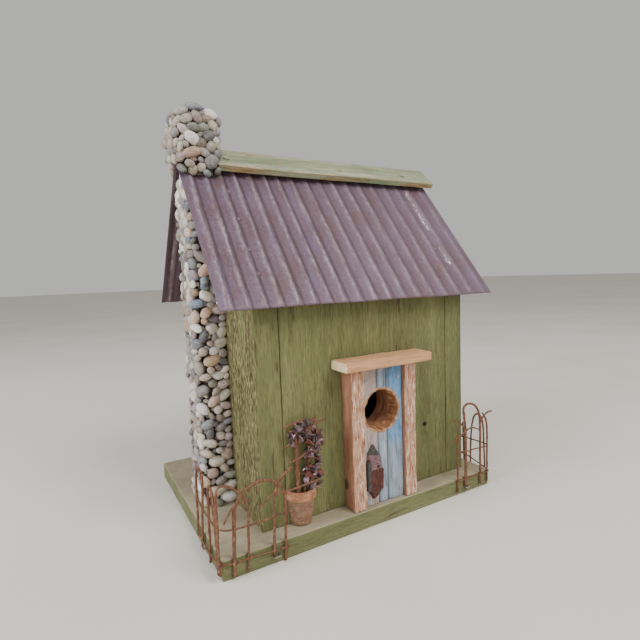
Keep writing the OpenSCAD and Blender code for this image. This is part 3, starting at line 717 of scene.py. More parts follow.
# ---------------------------------------------------------------------------
# Chimney and stack.  Small river pebbles of many colours glued one by one round a wooden
# core on the left gable and round a block astride the ridge, with glue in the gaps.
# ---------------------------------------------------------------------------
glue_finish = speckled_finish("glue_and_grit", ((260, 260, 260), 5, 0.7, 1.0),
                              [(0.35, (52, 43, 34)), (0.55, (86, 72, 56)), (0.7, (132, 116, 94))],
                              ((400, 400, 400), 4, 0.7, 4.0), 0.0008, 0.9)


def repaint(finish, *node_names):
    """Gives a finish to CAD parts that are kept as they are."""
    for node_name in node_names:
        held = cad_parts[node_name].data.materials
        held.clear()
        held.append(finish)


repaint(glue_finish, "chimney_core", "stack_core")

pebble_finish, tree, shader = new_finish("river_pebble", 0.5, specular=0.45)
tint = mark_of(tree, "tint", "Color")
mottle = speckle(tree, (420, 420, 420), 6, 0.65, 1.0)
veins = speckle(tree, (160, 160, 340), 3, 0.5, 5.0)
grey = ramp(tree, mottle, [(0.3, (190, 188, 184)), (0.55, (236, 234, 230)), (0.75, (255, 255, 252))])
colour = cover(tree, tint, grey, 1.0, way="MULTIPLY")
off_vein = maths(tree, "ABSOLUTE", maths(tree, "SUBTRACT", veins, 0.5))
band = times(tree, between(tree, off_vein, 0.018, 0.0), 0.35)
colour = cover(tree, colour, (226, 218, 204), band)
# painted shade: the depth mark darkens each pebble's side towards the surface it sits on
crevice_shade = mark_of(tree, "depth")
colour = cover(tree, colour, (74, 62, 50), crevice_shade, 0.8)
dress(tree, shader, colour, mottle, 0.00025, (mottle, 0.40, 0.66))

# the pebbles' own colours, and how many in a hundred there are of each
pebble_colours = np.array([(204, 194, 182), (186, 174, 164), (164, 156, 152), (232, 226, 220),
                           (142, 136, 134), (146, 152, 162), (176, 158, 146), (184, 158, 138),
                           (146, 118, 112), (202, 190, 172), (112, 110, 110), (162, 160, 158),
                           (242, 238, 236), (108, 118, 134)])
pebble_shares = np.array([15, 15, 15, 10, 10, 7, 7, 3, 3, 5, 6, 3, 5, 4], float)
pebble_shares /= pebble_shares.sum()


def ball_patch(cells):
    """A ball as six square patches: each patch's grid of tangents is pushed out to length
    one, and the patches' shared edges are merged.  Returns points and faces."""
    line = np.round(np.tan(np.linspace(-1, 1, cells + 1) * math.pi / 4), 6)
    g, h = np.meshgrid(line, line, indexing="ij")
    patch = lattice(cells + 1, cells + 1)
    p, f = [], []
    for a in range(3):
        for end in (-1, 1):
            q = np.zeros((g.size, 3))
            q[:, a], q[:, (a + 1) % 3], q[:, (a + 2) % 3] = end, g.ravel(), h.ravel()
            f.append((patch[:, ::-1] if end > 0 else patch) + len(p) * g.size)
            p.append(q)
    p, where = np.unique(np.round(np.concatenate(p), 5), axis=0, return_inverse=True)
    return p / np.linalg.norm(p, axis=1, keepdims=True), where.ravel()[np.concatenate(f)]


def pebbles(centres, normals, sizes, seed, cells=3, depth=0.0, shade=1.0):
    """Many pebbles as one mesh.  Each is a ball stretched to its three sizes, pushed in and
    out by slow noise, turned at random about the face's normal and tilted a little.  The depth
    mark holds painted shade: on each pebble's side towards the surface, plus depth all over.
    shade scales every tint, and under 1 it is painted shade."""
    rng = np.random.default_rng(seed)
    unit, unit_faces = ball_patch(cells)
    count = len(centres)
    n = normals + rng.normal(0, 0.16, normals.shape)
    n /= np.linalg.norm(n, axis=1, keepdims=True)
    side = np.cross(n, [0, 0, 1.0])
    flat = np.linalg.norm(side, axis=1) < 0.1
    side[flat] = np.cross(n[flat], [0, 1.0, 0])
    side /= np.linalg.norm(side, axis=1, keepdims=True)
    up = np.cross(side, n)
    turn = rng.normal(0, 0.6, count)[:, None]
    side, up = side * np.cos(turn) + up * np.sin(turn), up * np.cos(turn) - side * np.sin(turn)
    bulge = unit[None] * 1.5 + rng.uniform(0, 60, (count, 1, 3))
    swell = 1 + 0.19 * hill(bulge.reshape(-1, 3), seed).reshape(count, -1)
    local = unit[None] * swell[..., None] * sizes[:, None, :]
    points = (centres[:, None] + local[..., 0:1] * side[:, None] + local[..., 1:2] * up[:, None]
              + local[..., 2:3] * n[:, None])
    # side, up and n make a left-handed set, so the faces are turned round to point outwards
    faces = unit_faces[None, :, ::-1] + (np.arange(count) * len(unit))[:, None, None]
    pick = rng.choice(len(pebble_colours), count, p=pebble_shares)
    # shade scales every pebble's tint; below 1 it is painted shade
    own = pebble_colours[pick] * rng.normal(shade, 0.10, (count, 1)) + rng.normal(0, 3.5, (count, 3))
    tint = linear(np.clip(own, 20, 250))
    tint = np.repeat(tint[:, None], len(unit), 1).reshape(-1, 3)
    # painted shade: points on the side towards the surface, and all of a pebble given depth, are darkened
    inner = np.einsum("ijk,ik->ij", points - centres[:, None], normals) / sizes[:, 2:3]
    crevice_shade = np.clip(depth + 0.5 * (-inner - 0.05), 0, 1).reshape(-1)
    return points.reshape(-1, 3), faces.reshape(-1, 4), {"tint": tint, "depth": crevice_shade}


def spread(area, radii, start, settle, seed, rounds):
    """Discs of given radii, as many as an area takes, dropped on a surface and pushed apart
    where they overlap, a third of the overlap at a time.  settle keeps them on the surface."""
    radii = radii[:int(np.searchsorted(np.cumsum(math.pi * radii ** 2), area))]
    at = settle(start(np.random.default_rng(seed), len(radii)), radii)
    for _ in range(rounds):
        gap = at[:, None] - at[None]
        dist = np.sqrt((gap ** 2).sum(-1)) + np.eye(len(at)) + 1e-9
        over = np.clip((radii[:, None] + radii[None]) * 0.97 - dist, 0, None)
        np.fill_diagonal(over, 0)
        at = settle(at + (gap / dist[..., None] * over[..., None]).sum(1) * 0.33, radii)
    return at, radii


def glue_on(name, area, radii, start, settle, lift, seed, shade=1.0, gap_filler=False, stands_for=()):
    """One mesh of pebbles on a surface: discs are spread, each gets a half length, width and
    thickness from its radius, and lift sets how far it stands out.  Gap fillers are plainer,
    carry more painted shade and are less carefully spread.  shade under 1 darkens the tints
    as painted shade."""
    at, radii = spread(area, radii, start, settle, seed, 60 if gap_filler else 260)
    rng = np.random.default_rng(seed + 1)
    long = rng.uniform(1.02, 1.42, len(radii))
    thick = radii * rng.uniform(0.52, 0.74, len(radii))
    sizes = np.stack([radii * long, radii / long * 1.06, thick], 1)
    centres, normals = lift(at, thick, np.random.default_rng(seed + 3))
    # gap fillers sit deep and get 0.55 more painted shade all over
    cells, crevice_shade = (2, 0.55) if gap_filler else (3, 0.0)
    points, faces, marks = pebbles(centres, normals, sizes, seed + 2, cells, crevice_shade, shade)
    points[:, 2] = np.minimum(points[:, 2], whole_high[2] - 0.0003)
    return fit(name, points, faces, pebble_finish, "pebble", marks=marks, stands_for=stands_for)


core_low, core_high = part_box("chimney_core")
core_t, core_w = core_high[0] - core_low[0], core_high[1] - core_low[1]
chimney_run = core_w + 2 * core_t


def on_chimney(s, z, out):
    """From the back face round the left one to the front one: s is the distance along the
    core's outline, and the outward direction swings round each corner over 12 mm."""
    k = s + chimney_run / 2
    front = core_t + core_w
    past = core_low[0] + np.maximum(k - front, 0)
    x = np.where(k < core_t, core_high[0] - k, past)
    y = np.where(k < core_t, core_high[1], np.where(k > front, core_low[1], core_high[1] - (k - core_t)))
    swing = 0.006
    a = np.interp(k, [core_t - swing, core_t + swing, core_t + core_w - swing, core_t + core_w + swing],
                  [90.0, 180.0, 180.0, 270.0])
    normal = np.stack([np.cos(np.radians(a)), np.sin(np.radians(a)), 0 * a], 1)
    return np.stack([x, y, z], 1) + normal * out[:, None], normal


def keep_on_chimney(at, radii):
    """Holds discs on the strip, above the base and under the tin."""
    s = np.clip(at[:, 0], -chimney_run / 2 + radii * 0.75, chimney_run / 2 - radii * 0.75)
    depth = np.abs(on_chimney(s, at[:, 1], np.full(len(s), 0.006))[0][:, 1])
    top = under_roof(0, depth) - radii * 1.75
    return np.stack([s, np.clip(at[:, 1], base_high[2] + radii * 0.85, top)], 1)


def start_on_chimney(rng, count):
    """Places at random all over the strip."""
    return np.stack([rng.uniform(-chimney_run / 2, chimney_run / 2, count),
                     rng.uniform(base_high[2], under_ridge, count)], 1)


def lift_off_chimney(at, thick, rng):
    """Outer faces nearly level with each other, standing out more towards the foot."""
    flare = 0.0025 * np.exp(-(at[:, 1] - base_high[2]) / 0.030)
    return on_chimney(at[:, 0], at[:, 1], 0.0086 - thick * rng.uniform(0.85, 1.2, len(at)) + flare)


many = np.clip(np.random.default_rng(5).lognormal(math.log(0.0045), 0.27, 500), 0.0028, 0.0080)
chimney_area = 0.98 * (chimney_run + 0.012) * (under_ridge - base_high[2] - 0.012)
glue_on("chimney_pebbles", chimney_area, many, start_on_chimney, keep_on_chimney, lift_off_chimney, 6,
        stands_for=["chimney_face_stones", "chimney_side_stones"])
glue_on("chimney_gap_pebbles", 1.0, np.full(420, 0.0028), start_on_chimney, keep_on_chimney,
        lambda at, thick, rng: on_chimney(at[:, 0], at[:, 1], np.full(len(at), 0.0028)), 16, gap_filler=True)

stack_low, stack_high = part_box("stack_core")
stack_mid = np.array([(stack_low[0] + stack_high[0]) / 2, 0.0, stack_high[2] - 0.022])
stack_half = np.array([0.0172, 0.0226, 0.0266])


def on_stack(p):
    """Brings points to the stack's rounded block, where the fifth powers of their shares of
    its three half sizes add up to one, and gives the outward direction there."""
    q = (p - stack_mid) / stack_half
    q /= np.maximum((np.abs(q) ** 5).sum(1, keepdims=True), 1e-9) ** (1 / 5)
    normal = np.sign(q) * np.abs(q) ** 4 / stack_half
    return stack_mid + q * stack_half, normal / np.linalg.norm(normal, axis=1, keepdims=True)


def keep_on_stack(at, radii):
    """Back to the block's surface, and no lower than the tin under each pebble."""
    at, _ = on_stack(at)
    tin_top = ridge[2] - np.abs(at[:, 1]) * math.tan(roof_pitch)
    at[:, 2] = np.maximum(at[:, 2], np.maximum(tin_top, 0) + radii * 0.9)
    return at


def start_on_stack(rng, count):
    """Random directions from the block's middle, most of them not straight down."""
    d = rng.normal(0, 1, (count, 3))
    d[:, 2] = np.abs(d[:, 2]) - 0.45
    return stack_mid + d * 0.02


def lift_off_stack(at, thick, rng):
    """Half sunk in the block's surface, some more and some less."""
    _, normals = on_stack(at)
    return at + normals * (thick * rng.uniform(-0.1, 0.75, len(at)))[:, None], normals


def sink_in_stack(at, thick, rng):
    """Three millimetres under the block's surface."""
    _, normals = on_stack(at)
    return at - normals * 0.003, normals


many = np.clip(np.random.default_rng(15).lognormal(math.log(0.0042), 0.24, 280), 0.0028, 0.0064)
# the stack's pebbles get shade 0.90: their tints are painted ten per cent darker, as painted shade
glue_on("stack_pebbles", 0.0090, many, start_on_stack, keep_on_stack, lift_off_stack, 26, shade=0.90,
        stands_for=["stack_stones"])
glue_on("stack_gap_pebbles", 1.0, np.full(150, 0.0032), start_on_stack, keep_on_stack, sink_in_stack, 36,
        gap_filler=True)

# ---------------------------------------------------------------------------
# Door.  Three narrow tongued boards with chipped blue and grey paint between two torn
# posts, under a raw lintel; a nesting hole is drilled through the panel and the wall.
# ---------------------------------------------------------------------------
raw_finish = painted_wood(
    "raw_lintel_wood", (0.05, 0.6, 0.6),
    [(174, 124, 84), (202, 154, 112), (222, 180, 138), (186, 136, 94)], (122, 80, 50),
    [(214, 186, 142), (228, 204, 164), (238, 218, 182)], 0.6, 0.0006, 3.0)
low, high, points, faces, worn = sawn("door_lintel", (0.0016, 0.0013, 0.0013), 0.0024, 0.0012,
                                      (0.06, 0.4, 0.4), 41)
from_end = np.minimum(points[:, 0] - low[0], high[0] - points[:, 0])
end_grain = np.clip((0.0016 - from_end) / 0.0012, 0, 1)
fit("door_lintel_raw", points, faces, raw_finish, "raw_wood", stands_for=["door_lintel"],
    marks={"worn": np.maximum(worn * 0.35, end_grain * 1.5)})

post_finish, tree, shader = new_finish("torn_post_wood", 0.85, specular=0.25)
fibre = speckle(tree, (820, 820, 95), 5, 0.78, 2.0)
soft = speckle(tree, (160, 160, 22), 4, 0.6, 5.0)
torn = ramp(tree, fibre, [(0.36, (104, 62, 44)), (0.45, (178, 128, 100)), (0.53, (204, 164, 136)),
                          (0.64, (244, 226, 206))])
torn = cover(tree, torn, (206, 152, 128), between(tree, soft, 0.5, 0.75), 0.5)
planed = ramp(tree, soft, [(132, 90, 68), (158, 112, 86), (182, 136, 108)])
planed = cover(tree, planed, (96, 56, 38), between(tree, fibre, 0.46, 0.36), 0.6)
front = mark_of(tree, "worn")
colour = cover(tree, planed, torn, between(tree, plus(tree, front, times(tree, soft, 0.2)), 0.5, 0.7))
knot_mark = mark_of(tree, "knot")
colour = cover(tree, colour, (58, 46, 42), knot_mark, 0.8)
dress(tree, shader, colour, fibre, 0.0012)
for node_name, seed in (("left_door_post", 43), ("right_door_post", 47)):
    low, high, points, faces, worn = sawn(node_name, (0.0008, 0.0010, 0.0012), 0.0010, 0.0004,
                                          (0.5, 0.5, 0.03), seed)
    x, y, z = points.T
    share = np.clip((low[1] + 0.0035 - y) / 0.0030, 0, 1)
    ragged = hill_at(x * 900, 0, z * 45, seed) * 0.6 + hill_at(x * 2200, 0, z * 130, seed + 1) * 0.4
    points[:, 1] += share * 0.0022 * (0.5 + 0.5 * ragged)
    knot = np.hypot((y - high[1] + 0.003) / 0.0035, (z - 0.037) / 0.0045) < 1
    fit(node_name + "_torn", points, faces, post_finish, "post_wood", stands_for=[node_name],
        marks={"worn": share, "knot": knot * (x < low[0] + 0.002) * (seed == 43)})

door_finish, tree, shader = new_finish("chipped_door_paint", 0.7, specular=0.35)
lines = speckle(tree, (520, 520, 24), 5, 0.7, 3.0)
flake = speckle(tree, (240, 240, 70), 6, 0.75, 6.0)
blue = ramp(tree, flake, [(0.3, (104, 122, 144)), (0.5, (134, 150, 166)), (0.68, (164, 176, 188))])
pale = ramp(tree, flake, [(134, 118, 112), (160, 144, 136), (190, 178, 170)])
fresh = mark_of(tree, "fresh")
blue = cover(tree, blue,
             ramp(tree, flake, [(0.3, (66, 108, 150)), (0.5, (92, 138, 178)), (0.68, (130, 164, 196))]),
             between(tree, plus(tree, fresh, times(tree, flake, 0.5)), 0.55, 0.95))
which = mark_of(tree, "grey_board")
colour = cover(tree, blue, pale, between(tree, plus(tree, which, times(tree, flake, 0.5)), 0.55, 0.85))
lilac = between(tree, speckle(tree, (300, 300, 50), 4, 0.7, 19.0), 0.52, 0.66)
colour = cover(tree, colour, (158, 142, 152), lilac, 0.5)
colour = cover(tree, colour, (204, 202, 198), between(tree, lines, 0.56, 0.66), 0.6)
colour = cover(tree, colour, (78, 78, 82), between(tree, lines, 0.44, 0.35), 0.75)
mark = mark_of(tree, "worn")
groove = mark_of(tree, "groove")
colour = cover(tree, colour, (58, 50, 42), groove, 0.85)
fresh_cut = speckle(tree, (300, 60, 300), 5, 0.7, 9.0)
raw = ramp(tree, fresh_cut, [(118, 76, 50), (160, 114, 80), (206, 168, 130)])
colour = cover(tree, colour, raw, between(tree, plus(tree, mark, times(tree, flake, 0.6)), 0.80, 0.95))
dress(tree, shader, colour, plus(tree, lines, times(tree, flake, 0.5)), 0.0004)

low, high, points, faces, worn = sawn("door_panel", (0.0009, 0.003, 0.0014), 0.0006, 0.0003,
                                      (0.6, 0.6, 0.03), 53)
across = (points[:, 0] - low[0]) / (high[0] - low[0])
wander = 0.006 * hill_at(0, 0, points[:, 2] * 40, 3)
on_front = points[:, 1] < low[1] + 0.003


def scored(places, width):
    """1 along upright lines at shares of the panel's width, and 0 away from them."""
    return sum(np.exp(-((across - g - wander) / width) ** 2) for g in places) * on_front


split = scored((0.55, 0.67), 0.013) * (points[:, 2] > hole_centre[1] + hole_radius - 0.001)
groove = scored((0.38, 0.61), 0.018)
groove = np.clip(groove + split, 0, 1)
points[:, 1] += 0.0012 * groove
fresh_share = np.clip((across - 0.45) * 4, 0, 1) * np.interp(points[:, 2], [0.035, 0.085], [-0.4, 1])
door_panel = fit("door_panel_chipped", points, faces, door_finish, "door_paint", stands_for=["door_panel"],
                 marks={"worn": worn * 0.3, "groove": groove, "grey_board": (across < 0.38) * 1.0,
                        "fresh": fresh_share})
cut(door_panel, drill("panel_drill", hole_centre, hole_radius, low[1] - 0.002, high[1] + 0.002, 0.0013, 9))
remark(door_panel, hole_centre, hole_radius * 1.06)

nail_finish = speckled_finish("dull_nail_steel", ((700, 700, 700), 4, 0.7, 2.0),
                              [(0.35, (108, 100, 92)), (0.55, (168, 164, 160)), (0.7, (206, 204, 202))],
                              ((1500, 1500, 1500), 3, 0.6, 3.0), 0.0001, 0.42, 0.85, 0.5)
repaint(cap_finish, "ridge_nails")
repaint(wall_finish, "wall_nails")
repaint(door_finish, "panel_nails")
repaint(nail_finish, "base_screws", "fence_staples", "cleanout_screw", "cleanout_washer")

# ---------------------------------------------------------------------------
# Hinge leaf.  One leaf of an old wrought hinge, nailed to the panel: a rolled dark knuckle,
# a pointed top still purple with paint and a thicker red-brown foot that ends in a tip.
# ---------------------------------------------------------------------------
rust_finish, tree, shader = new_finish("old_hinge_rust", 0.72, 0.35, 0.4)
pit = speckle(tree, (500, 500, 500), 6, 0.75, 1.0)
patch = speckle(tree, (130, 130, 90), 4, 0.6, 4.0)
colour = ramp(tree, pit, [(0.32, (54, 30, 28)), (0.5, (84, 48, 43)), (0.68, (112, 70, 60))])
kind = node(tree, "ShaderNodeAttribute", attribute_name="zone")
colour = cover(tree, colour, ramp(tree, pit, [(88, 66, 70), (124, 98, 102), (152, 126, 128)]),
               between(tree, kind.outputs["Fac"], 0.4, 0.6))
colour = cover(tree, colour, ramp(tree, pit, [(46, 44, 42), (74, 72, 68), (104, 100, 94)]),
               between(tree, kind.outputs["Fac"], 1.4, 1.6))
colour = cover(tree, colour, (118, 74, 56), between(tree, patch, 0.58, 0.7), 0.6)
dress(tree, shader, colour, plus(tree, pit, patch), 0.0006)

leaf_low, leaf_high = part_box("hinge_leaf")
plate_x, knuckle_r = leaf_low[0] + 0.0025, 0.0024
leaf_h = leaf_high[2] - leaf_low[2]
rows, cols = 90, 26
v = np.linspace(0, 1, rows)[:, None]
u = np.linspace(0, 1, cols)[None, :]
left_edge = np.interp(v, [0, 0.18, 0.30, 0.86, 1.0], [0.30, 0.02, 0.0, 0.0, 0.33])
right_edge = np.interp(v, [0, 0.18, 0.52, 0.56, 0.73, 1.0], [0.36, 0.94, 0.97, 0.88, 0.86, 0.39])
plate_w = leaf_high[0] - plate_x
x = plate_x + plate_w * (left_edge + (right_edge - left_edge) * u)
z = leaf_low[2] + leaf_h * v + 0 * u
near = np.minimum(np.minimum(u, 1 - u) * (right_edge - left_edge) * plate_w,
                  np.minimum(v, 1 - v) * leaf_h * 0.4 + 0 * u)
foot_part = 1 / (1 + np.exp((v - 0.54) * 120))
rounded = np.sqrt(np.clip(1 - (1 - np.clip(near / 0.0016, 0, 1)) ** 2, 0, 1))
thick = (0.0016 + 0.0012 * foot_part) * rounded
thick = thick + 0.0004 * (hill_at(x * 320, 0, z * 320, 4) * 0.5 + 0.5) * (near > 0.0003)
plate_back = leaf_high[1]
face = np.stack([x, plate_back - thick, z], -1).reshape(-1, 3)
back = np.stack([x, plate_back + 0 * x, z], -1).reshape(-1, 3)
plate_faces, _ = closed_pair(rows, cols)
zone = np.where(v + 0 * u > 0.84 - 0.06 * u, 2.0, np.where(v + 0 * u > 0.54, 1.0, 0.0)).ravel()
k_rows, k_cols = 60, 20
kv = np.linspace(0, 1, k_rows)[:, None]
ka = np.linspace(0, 2 * math.pi, k_cols, endpoint=False)[None, :]
kz = leaf_low[2] + leaf_h * (0.18 + 0.55 * kv)
kr = knuckle_r * (0.93 + 0.07 * hill_at(3 * np.cos(ka), 3 * np.sin(ka), kz * 500, 8))
kr = kr * np.clip(np.minimum(kv, 1 - kv) * 40, 0.0, 1) ** 0.5
knuckle = np.stack([plate_x + kr * np.cos(ka), plate_back - 0.0025 + kr * np.sin(ka), kz + 0 * ka],
                   -1).reshape(-1, 3)
points = np.concatenate([face, back, knuckle])
faces = np.concatenate([plate_faces, lattice(k_rows, k_cols, True) + 2 * rows * cols])
zones = np.concatenate([zone, zone, np.full(len(knuckle), 2.0)])
fit("hinge_leaf_rusty", points, faces, rust_finish, "old_iron", marks={"zone": zones},
    stands_for=["hinge_leaf"])
repaint(rust_finish, "hinge_pin", "hinge_nails")

# ---------------------------------------------------------------------------
# Half flower pot.  A small clay pot sawn in half and glued to the wall, thrown with a
# thick rim band, dusty on its body, and packed with dark moss.
# ---------------------------------------------------------------------------
clay_finish, tree, shader = new_finish("dusty_clay", 0.85, specular=0.25)
bloom = speckle(tree, (130, 130, 220), 5, 0.65, 2.0)
colour = ramp(tree, bloom, [(110, 82, 64), (132, 100, 79), (154, 122, 100)])
band = mark_of(tree, "band")
colour = cover(tree, colour, ramp(tree, bloom, [(134, 88, 62), (160, 112, 82), (184, 142, 112)]), band)
chalky = between(tree, speckle(tree, (400, 400, 600), 5, 0.7, 7.0), 0.55, 0.68)
colour = cover(tree, colour, (224, 196, 170), chalky, 0.45)
dress(tree, shader, colour, plus(tree, bloom, speckle(tree, (1500, 1500, 1500), 3, 0.7, 5.0)), 0.0003)

pot_low, pot_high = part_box("flower_pot")
pot_x, pot_back = (pot_low[0] + pot_high[0]) / 2, pot_high[1]
outline = np.array([(0.2, 0), (8.2, 0), (9.0, 0.9), (10.2, 9.0), (11.5, 18.0), (12.0, 21.6),
                    (12.9, 22.0), (13.4, 22.8), (13.5, 25.5), (13.4, 29.0), (12.9, 30.0), (11.8, 30.0),
                    (11.1, 29.2), (10.6, 25.0), (9.0, 14.0), (7.0, 2.2), (0.2, 2.0)]) * 0.001
fine = np.linspace(0, len(outline) - 1, 90)
profile = np.stack([np.interp(fine, np.arange(len(outline)), outline[:, k]) for k in (0, 1)], 1)


def half_turn(profile, steps):
    """Turns a closed outline of radius and height half way round, in front of the wall, and
    shuts the two cut ends; the radius wavers a little, as clay does."""
    a = np.linspace(math.pi, 2 * math.pi, steps)
    n = len(profile)
    r = profile[None, :, 0] * (1 + 0.006 * np.sin(a * 5)[:, None])
    p = np.stack([pot_x + r * np.cos(a)[:, None], pot_back - 0.0001 + r * np.sin(a)[:, None],
                  pot_low[2] + profile[None, :, 1] + 0 * r], -1).reshape(-1, 3)
    ends = [list(range(n)), list(range((steps - 1) * n, steps * n))[::-1]]
    return p, lattice(steps, n, True)[:, ::-1].tolist() + ends


points, faces = half_turn(profile, 44)
in_band = np.clip((points[:, 2] - pot_low[2] - 0.0212) / 0.0008, 0, 1)
fit("half_pot_clay", points, faces, clay_finish, "clay", smooth=False, marks={"band": in_band},
    stands_for=["flower_pot"])

moss_finish = speckled_finish("dark_moss", ((600, 600, 600), 5, 0.7, 1.0),
                              [(38, 32, 20), (66, 58, 34), (98, 90, 52)],
                              ((900, 900, 900), 4, 0.7, 3.0), 0.001, 0.95, specular=0.1)
repaint(moss_finish, "pot_moss")

# ---------------------------------------------------------------------------
# Vine.  Rusty wire stems pushed into the moss, with twigs and crumpled leaves cut from
# thin sheet metal, purple and brown, stuck on with small drops of white glue.
# ---------------------------------------------------------------------------
wire_finish = speckled_finish(
    "rusty_wire_brown", ((600, 600, 260), 6, 0.75, 1.0),
    [(0.30, (66, 44, 34)), (0.46, (102, 68, 50)), (0.60, (136, 94, 70)), (0.72, (192, 152, 120))],
    None, 0.0003, 0.75, 0.2, 0.35)


def tube(path, radius, around=10, seed=0):
    """A wire through a list of points: the path is smoothed, cut evenly, and circles square
    to it are carried along with no twist; its radius wavers and both ends are closed."""
    path = np.array(path, float)
    if len(path) > 2:
        for _ in range(3):
            near_start = path[:-1] * 0.75 + path[1:] * 0.25
            near_end = path[:-1] * 0.25 + path[1:] * 0.75
            inner = np.stack([near_start, near_end], 1).reshape(-1, 3)
            path = np.concatenate([path[:1], inner, path[-1:]])
    run = np.concatenate([[0], np.cumsum(np.linalg.norm(np.diff(path, axis=0), axis=1))])
    even = np.linspace(0, run[-1], max(6, int(run[-1] / 0.0022)))
    path = np.stack([np.interp(even, run, path[:, k]) for k in range(3)], 1)
    path = path + 0.00025 * np.stack([hill(path * 90 + k * 17, seed + k) for k in range(3)], 1)
    tangent = np.gradient(path, axis=0)
    tangent /= np.linalg.norm(tangent, axis=1, keepdims=True)
    lead = np.cross(tangent[0], [0.3, 1, 0.2])
    frames = []
    for t in tangent:
        lead = lead - t * (lead @ t)
        lead /= np.linalg.norm(lead)
        frames.append(lead)
    side = np.array(frames)
    up = np.cross(tangent, side)
    a = np.linspace(0, 2 * math.pi, around, endpoint=False)
    r = radius * (1 + 0.08 * hill(path * 700, seed + 5))
    out = side[:, None] * np.cos(a)[None, :, None] + up[:, None] * np.sin(a)[None, :, None]
    ring = path[:, None] + r[:, None, None] * out
    points = np.concatenate([ring.reshape(-1, 3), path[:1], path[-1:]])
    return points, closed_rings(len(path), around)


def place(x, y, z):
    """A place given in millimetres from the house's front left corner at the base's top."""
    return ((x - 100.5) / 1000, (y - 87.5) / 1000, (z + 16) / 1000)


stem_paths = [([(31.5, -5, 22), (30.5, -5, 40), (31.5, -4.5, 60), (30, -5, 80)], 1.9),
              ([(35, -6, 23), (38, -6, 38), (42, -5, 55), (44, -5, 72)], 1.1),
              ([(38, -6, 24), (44, -6.5, 36), (48, -6, 50), (46, -5, 62)], 1.0),
              ([(19.5, -7, 84), (28, -7.5, 86.5), (37.5, -7, 88)], 0.9),
              ([(40.5, -6, 78), (47, -7, 82.5), (55.5, -8, 85)], 0.9),
              ([(20, -6, 67.5), (24.5, -7, 70), (29, -6, 74.5)], 0.8),
              ([(22, -8, 55.5), (31, -9, 57.5), (40, -8, 61)], 0.8),
              ([(24, -6, 80), (34, -6.5, 80), (42, -6, 75)], 0.9)]


def bend_wires(name, wires, around, seed, stands_for):
    """One piece of many wires, each given as its path and its radius in millimetres."""
    bent = [tube(path, r / 1000, around, seed + k) for k, (path, r) in enumerate(wires)]
    fit(name, *gather(bent), wire_finish, "rusty_wire", stands_for=[stands_for])


stems = [([place(*p) for p in path], r) for path, r in stem_paths]
bend_wires("vine_stems_wire", stems, 8, 60, "vine_stems")

leaf_finish, tree, shader = new_finish("sheet_leaf_brown", 0.6, 0.35, 0.4)
spot = speckle(tree, (260, 260, 260), 5, 0.65, 2.0)
tint = mark_of(tree, "tint", "Color")
colour = cover(tree, tint, ramp(tree, spot, [(150, 140, 140), (225, 220, 220), (255, 250, 250)]), 1.0,
               way="MULTIPLY")
dress(tree, shader, colour, spot, 0.0003)


def leaves(centres, seed):
    """Crumpled leaves: a pointed outline six cells long and four wide, bent along its middle,
    rumpled by noise, and given two skins; each is turned its own way."""
    rng = np.random.default_rng(seed)
    v, u = np.meshgrid(np.linspace(0, 1, 7), np.linspace(-1, 1, 5), indexing="ij")
    wide = np.sin(math.pi * np.clip(v, 0.03, 0.97)) ** 0.8
    leaf_faces, _ = closed_pair(7, 5)
    parts, tints = [], []
    palette = np.array([(124, 104, 108), (140, 112, 110), (112, 88, 90), (150, 118, 112), (98, 86, 94),
                        (136, 84, 70), (166, 146, 148)])
    for k, centre in enumerate(centres):
        long, broad = rng.uniform(6, 9.5) / 1000, rng.uniform(1.9, 3.1) / 1000
        rise = 0.0012 * np.abs(u) + 0.0012 * np.sin(v * 3)
        p = np.stack([u * wide * broad, (v - 0.5) * long, rise], -1).reshape(-1, 3)
        p[:, 2] += 0.0010 * hill(p * 420 + k * 3.7, seed)
        q, _ = np.linalg.qr(rng.normal(0, 1, (3, 3)))
        q *= np.sign(np.linalg.det(q))
        thick = np.array([0, 0, 0.00035])
        both = np.concatenate([p + thick, p - thick]) @ q.T + centre
        parts.append((both, leaf_faces))
        own = palette[rng.integers(len(palette))] * rng.uniform(0.85, 1.1)
        tints.append(np.repeat(linear(own)[None], 70, 0))
    points, faces = gather(parts)
    return points, faces, np.concatenate(tints)


rng = np.random.default_rng(71)
mass = []
bunches = (((38, 27), (51, 62), 38), ((23, 70), (46, 86), 26), ((39, 58), (53, 76), 24))
for low_p, high_p, count in bunches:
    for _ in range(count):
        mass.append(place(rng.uniform(low_p[0], high_p[0]), rng.uniform(-11, -4.5),
                          rng.uniform(low_p[1], high_p[1])))
points, faces, tints = leaves(np.array(mass), 73)
points[:, 1] = np.minimum(points[:, 1], -0.0879)
fit("vine_leaves_sheet", points, faces, leaf_finish, "vine_leaf", marks={"tint": tints},
    stands_for=["vine_leaves"])

glue_drop_finish = speckled_finish("white_glue_drop", ((700, 700, 700), 3, 0.6, 2.0),
                                   [(0.35, (150, 140, 130)), (0.65, (192, 182, 172))],
                                   ((900, 900, 900), 3, 0.6, 3.0), 0.0003, 0.6, specular=0.3)
drops = ((27, -9.5, 77), (40.5, -10.5, 63), (34, -10, 48), (43, -11, 42), (46.5, -10, 36))
spots = np.array([place(*p) for p in drops])
points, faces, _ = pebbles(spots, np.tile([0, -1.0, 0], (5, 1)), np.tile([0.0014, 0.0006, 0.0006], (5, 1)),
                           75)
fit("vine_glue_drops", points, faces, glue_drop_finish, "clay")

# ---------------------------------------------------------------------------
# Fences.  Old garden wire: doubled, rusted uprights bent over into hoops, woven through
# two thinner rail wires round each front corner, and held to the board by staples.
# ---------------------------------------------------------------------------
front_line, left_line, right_line = -19.5, -40.6, 241.0
wire_thinned = 0.9


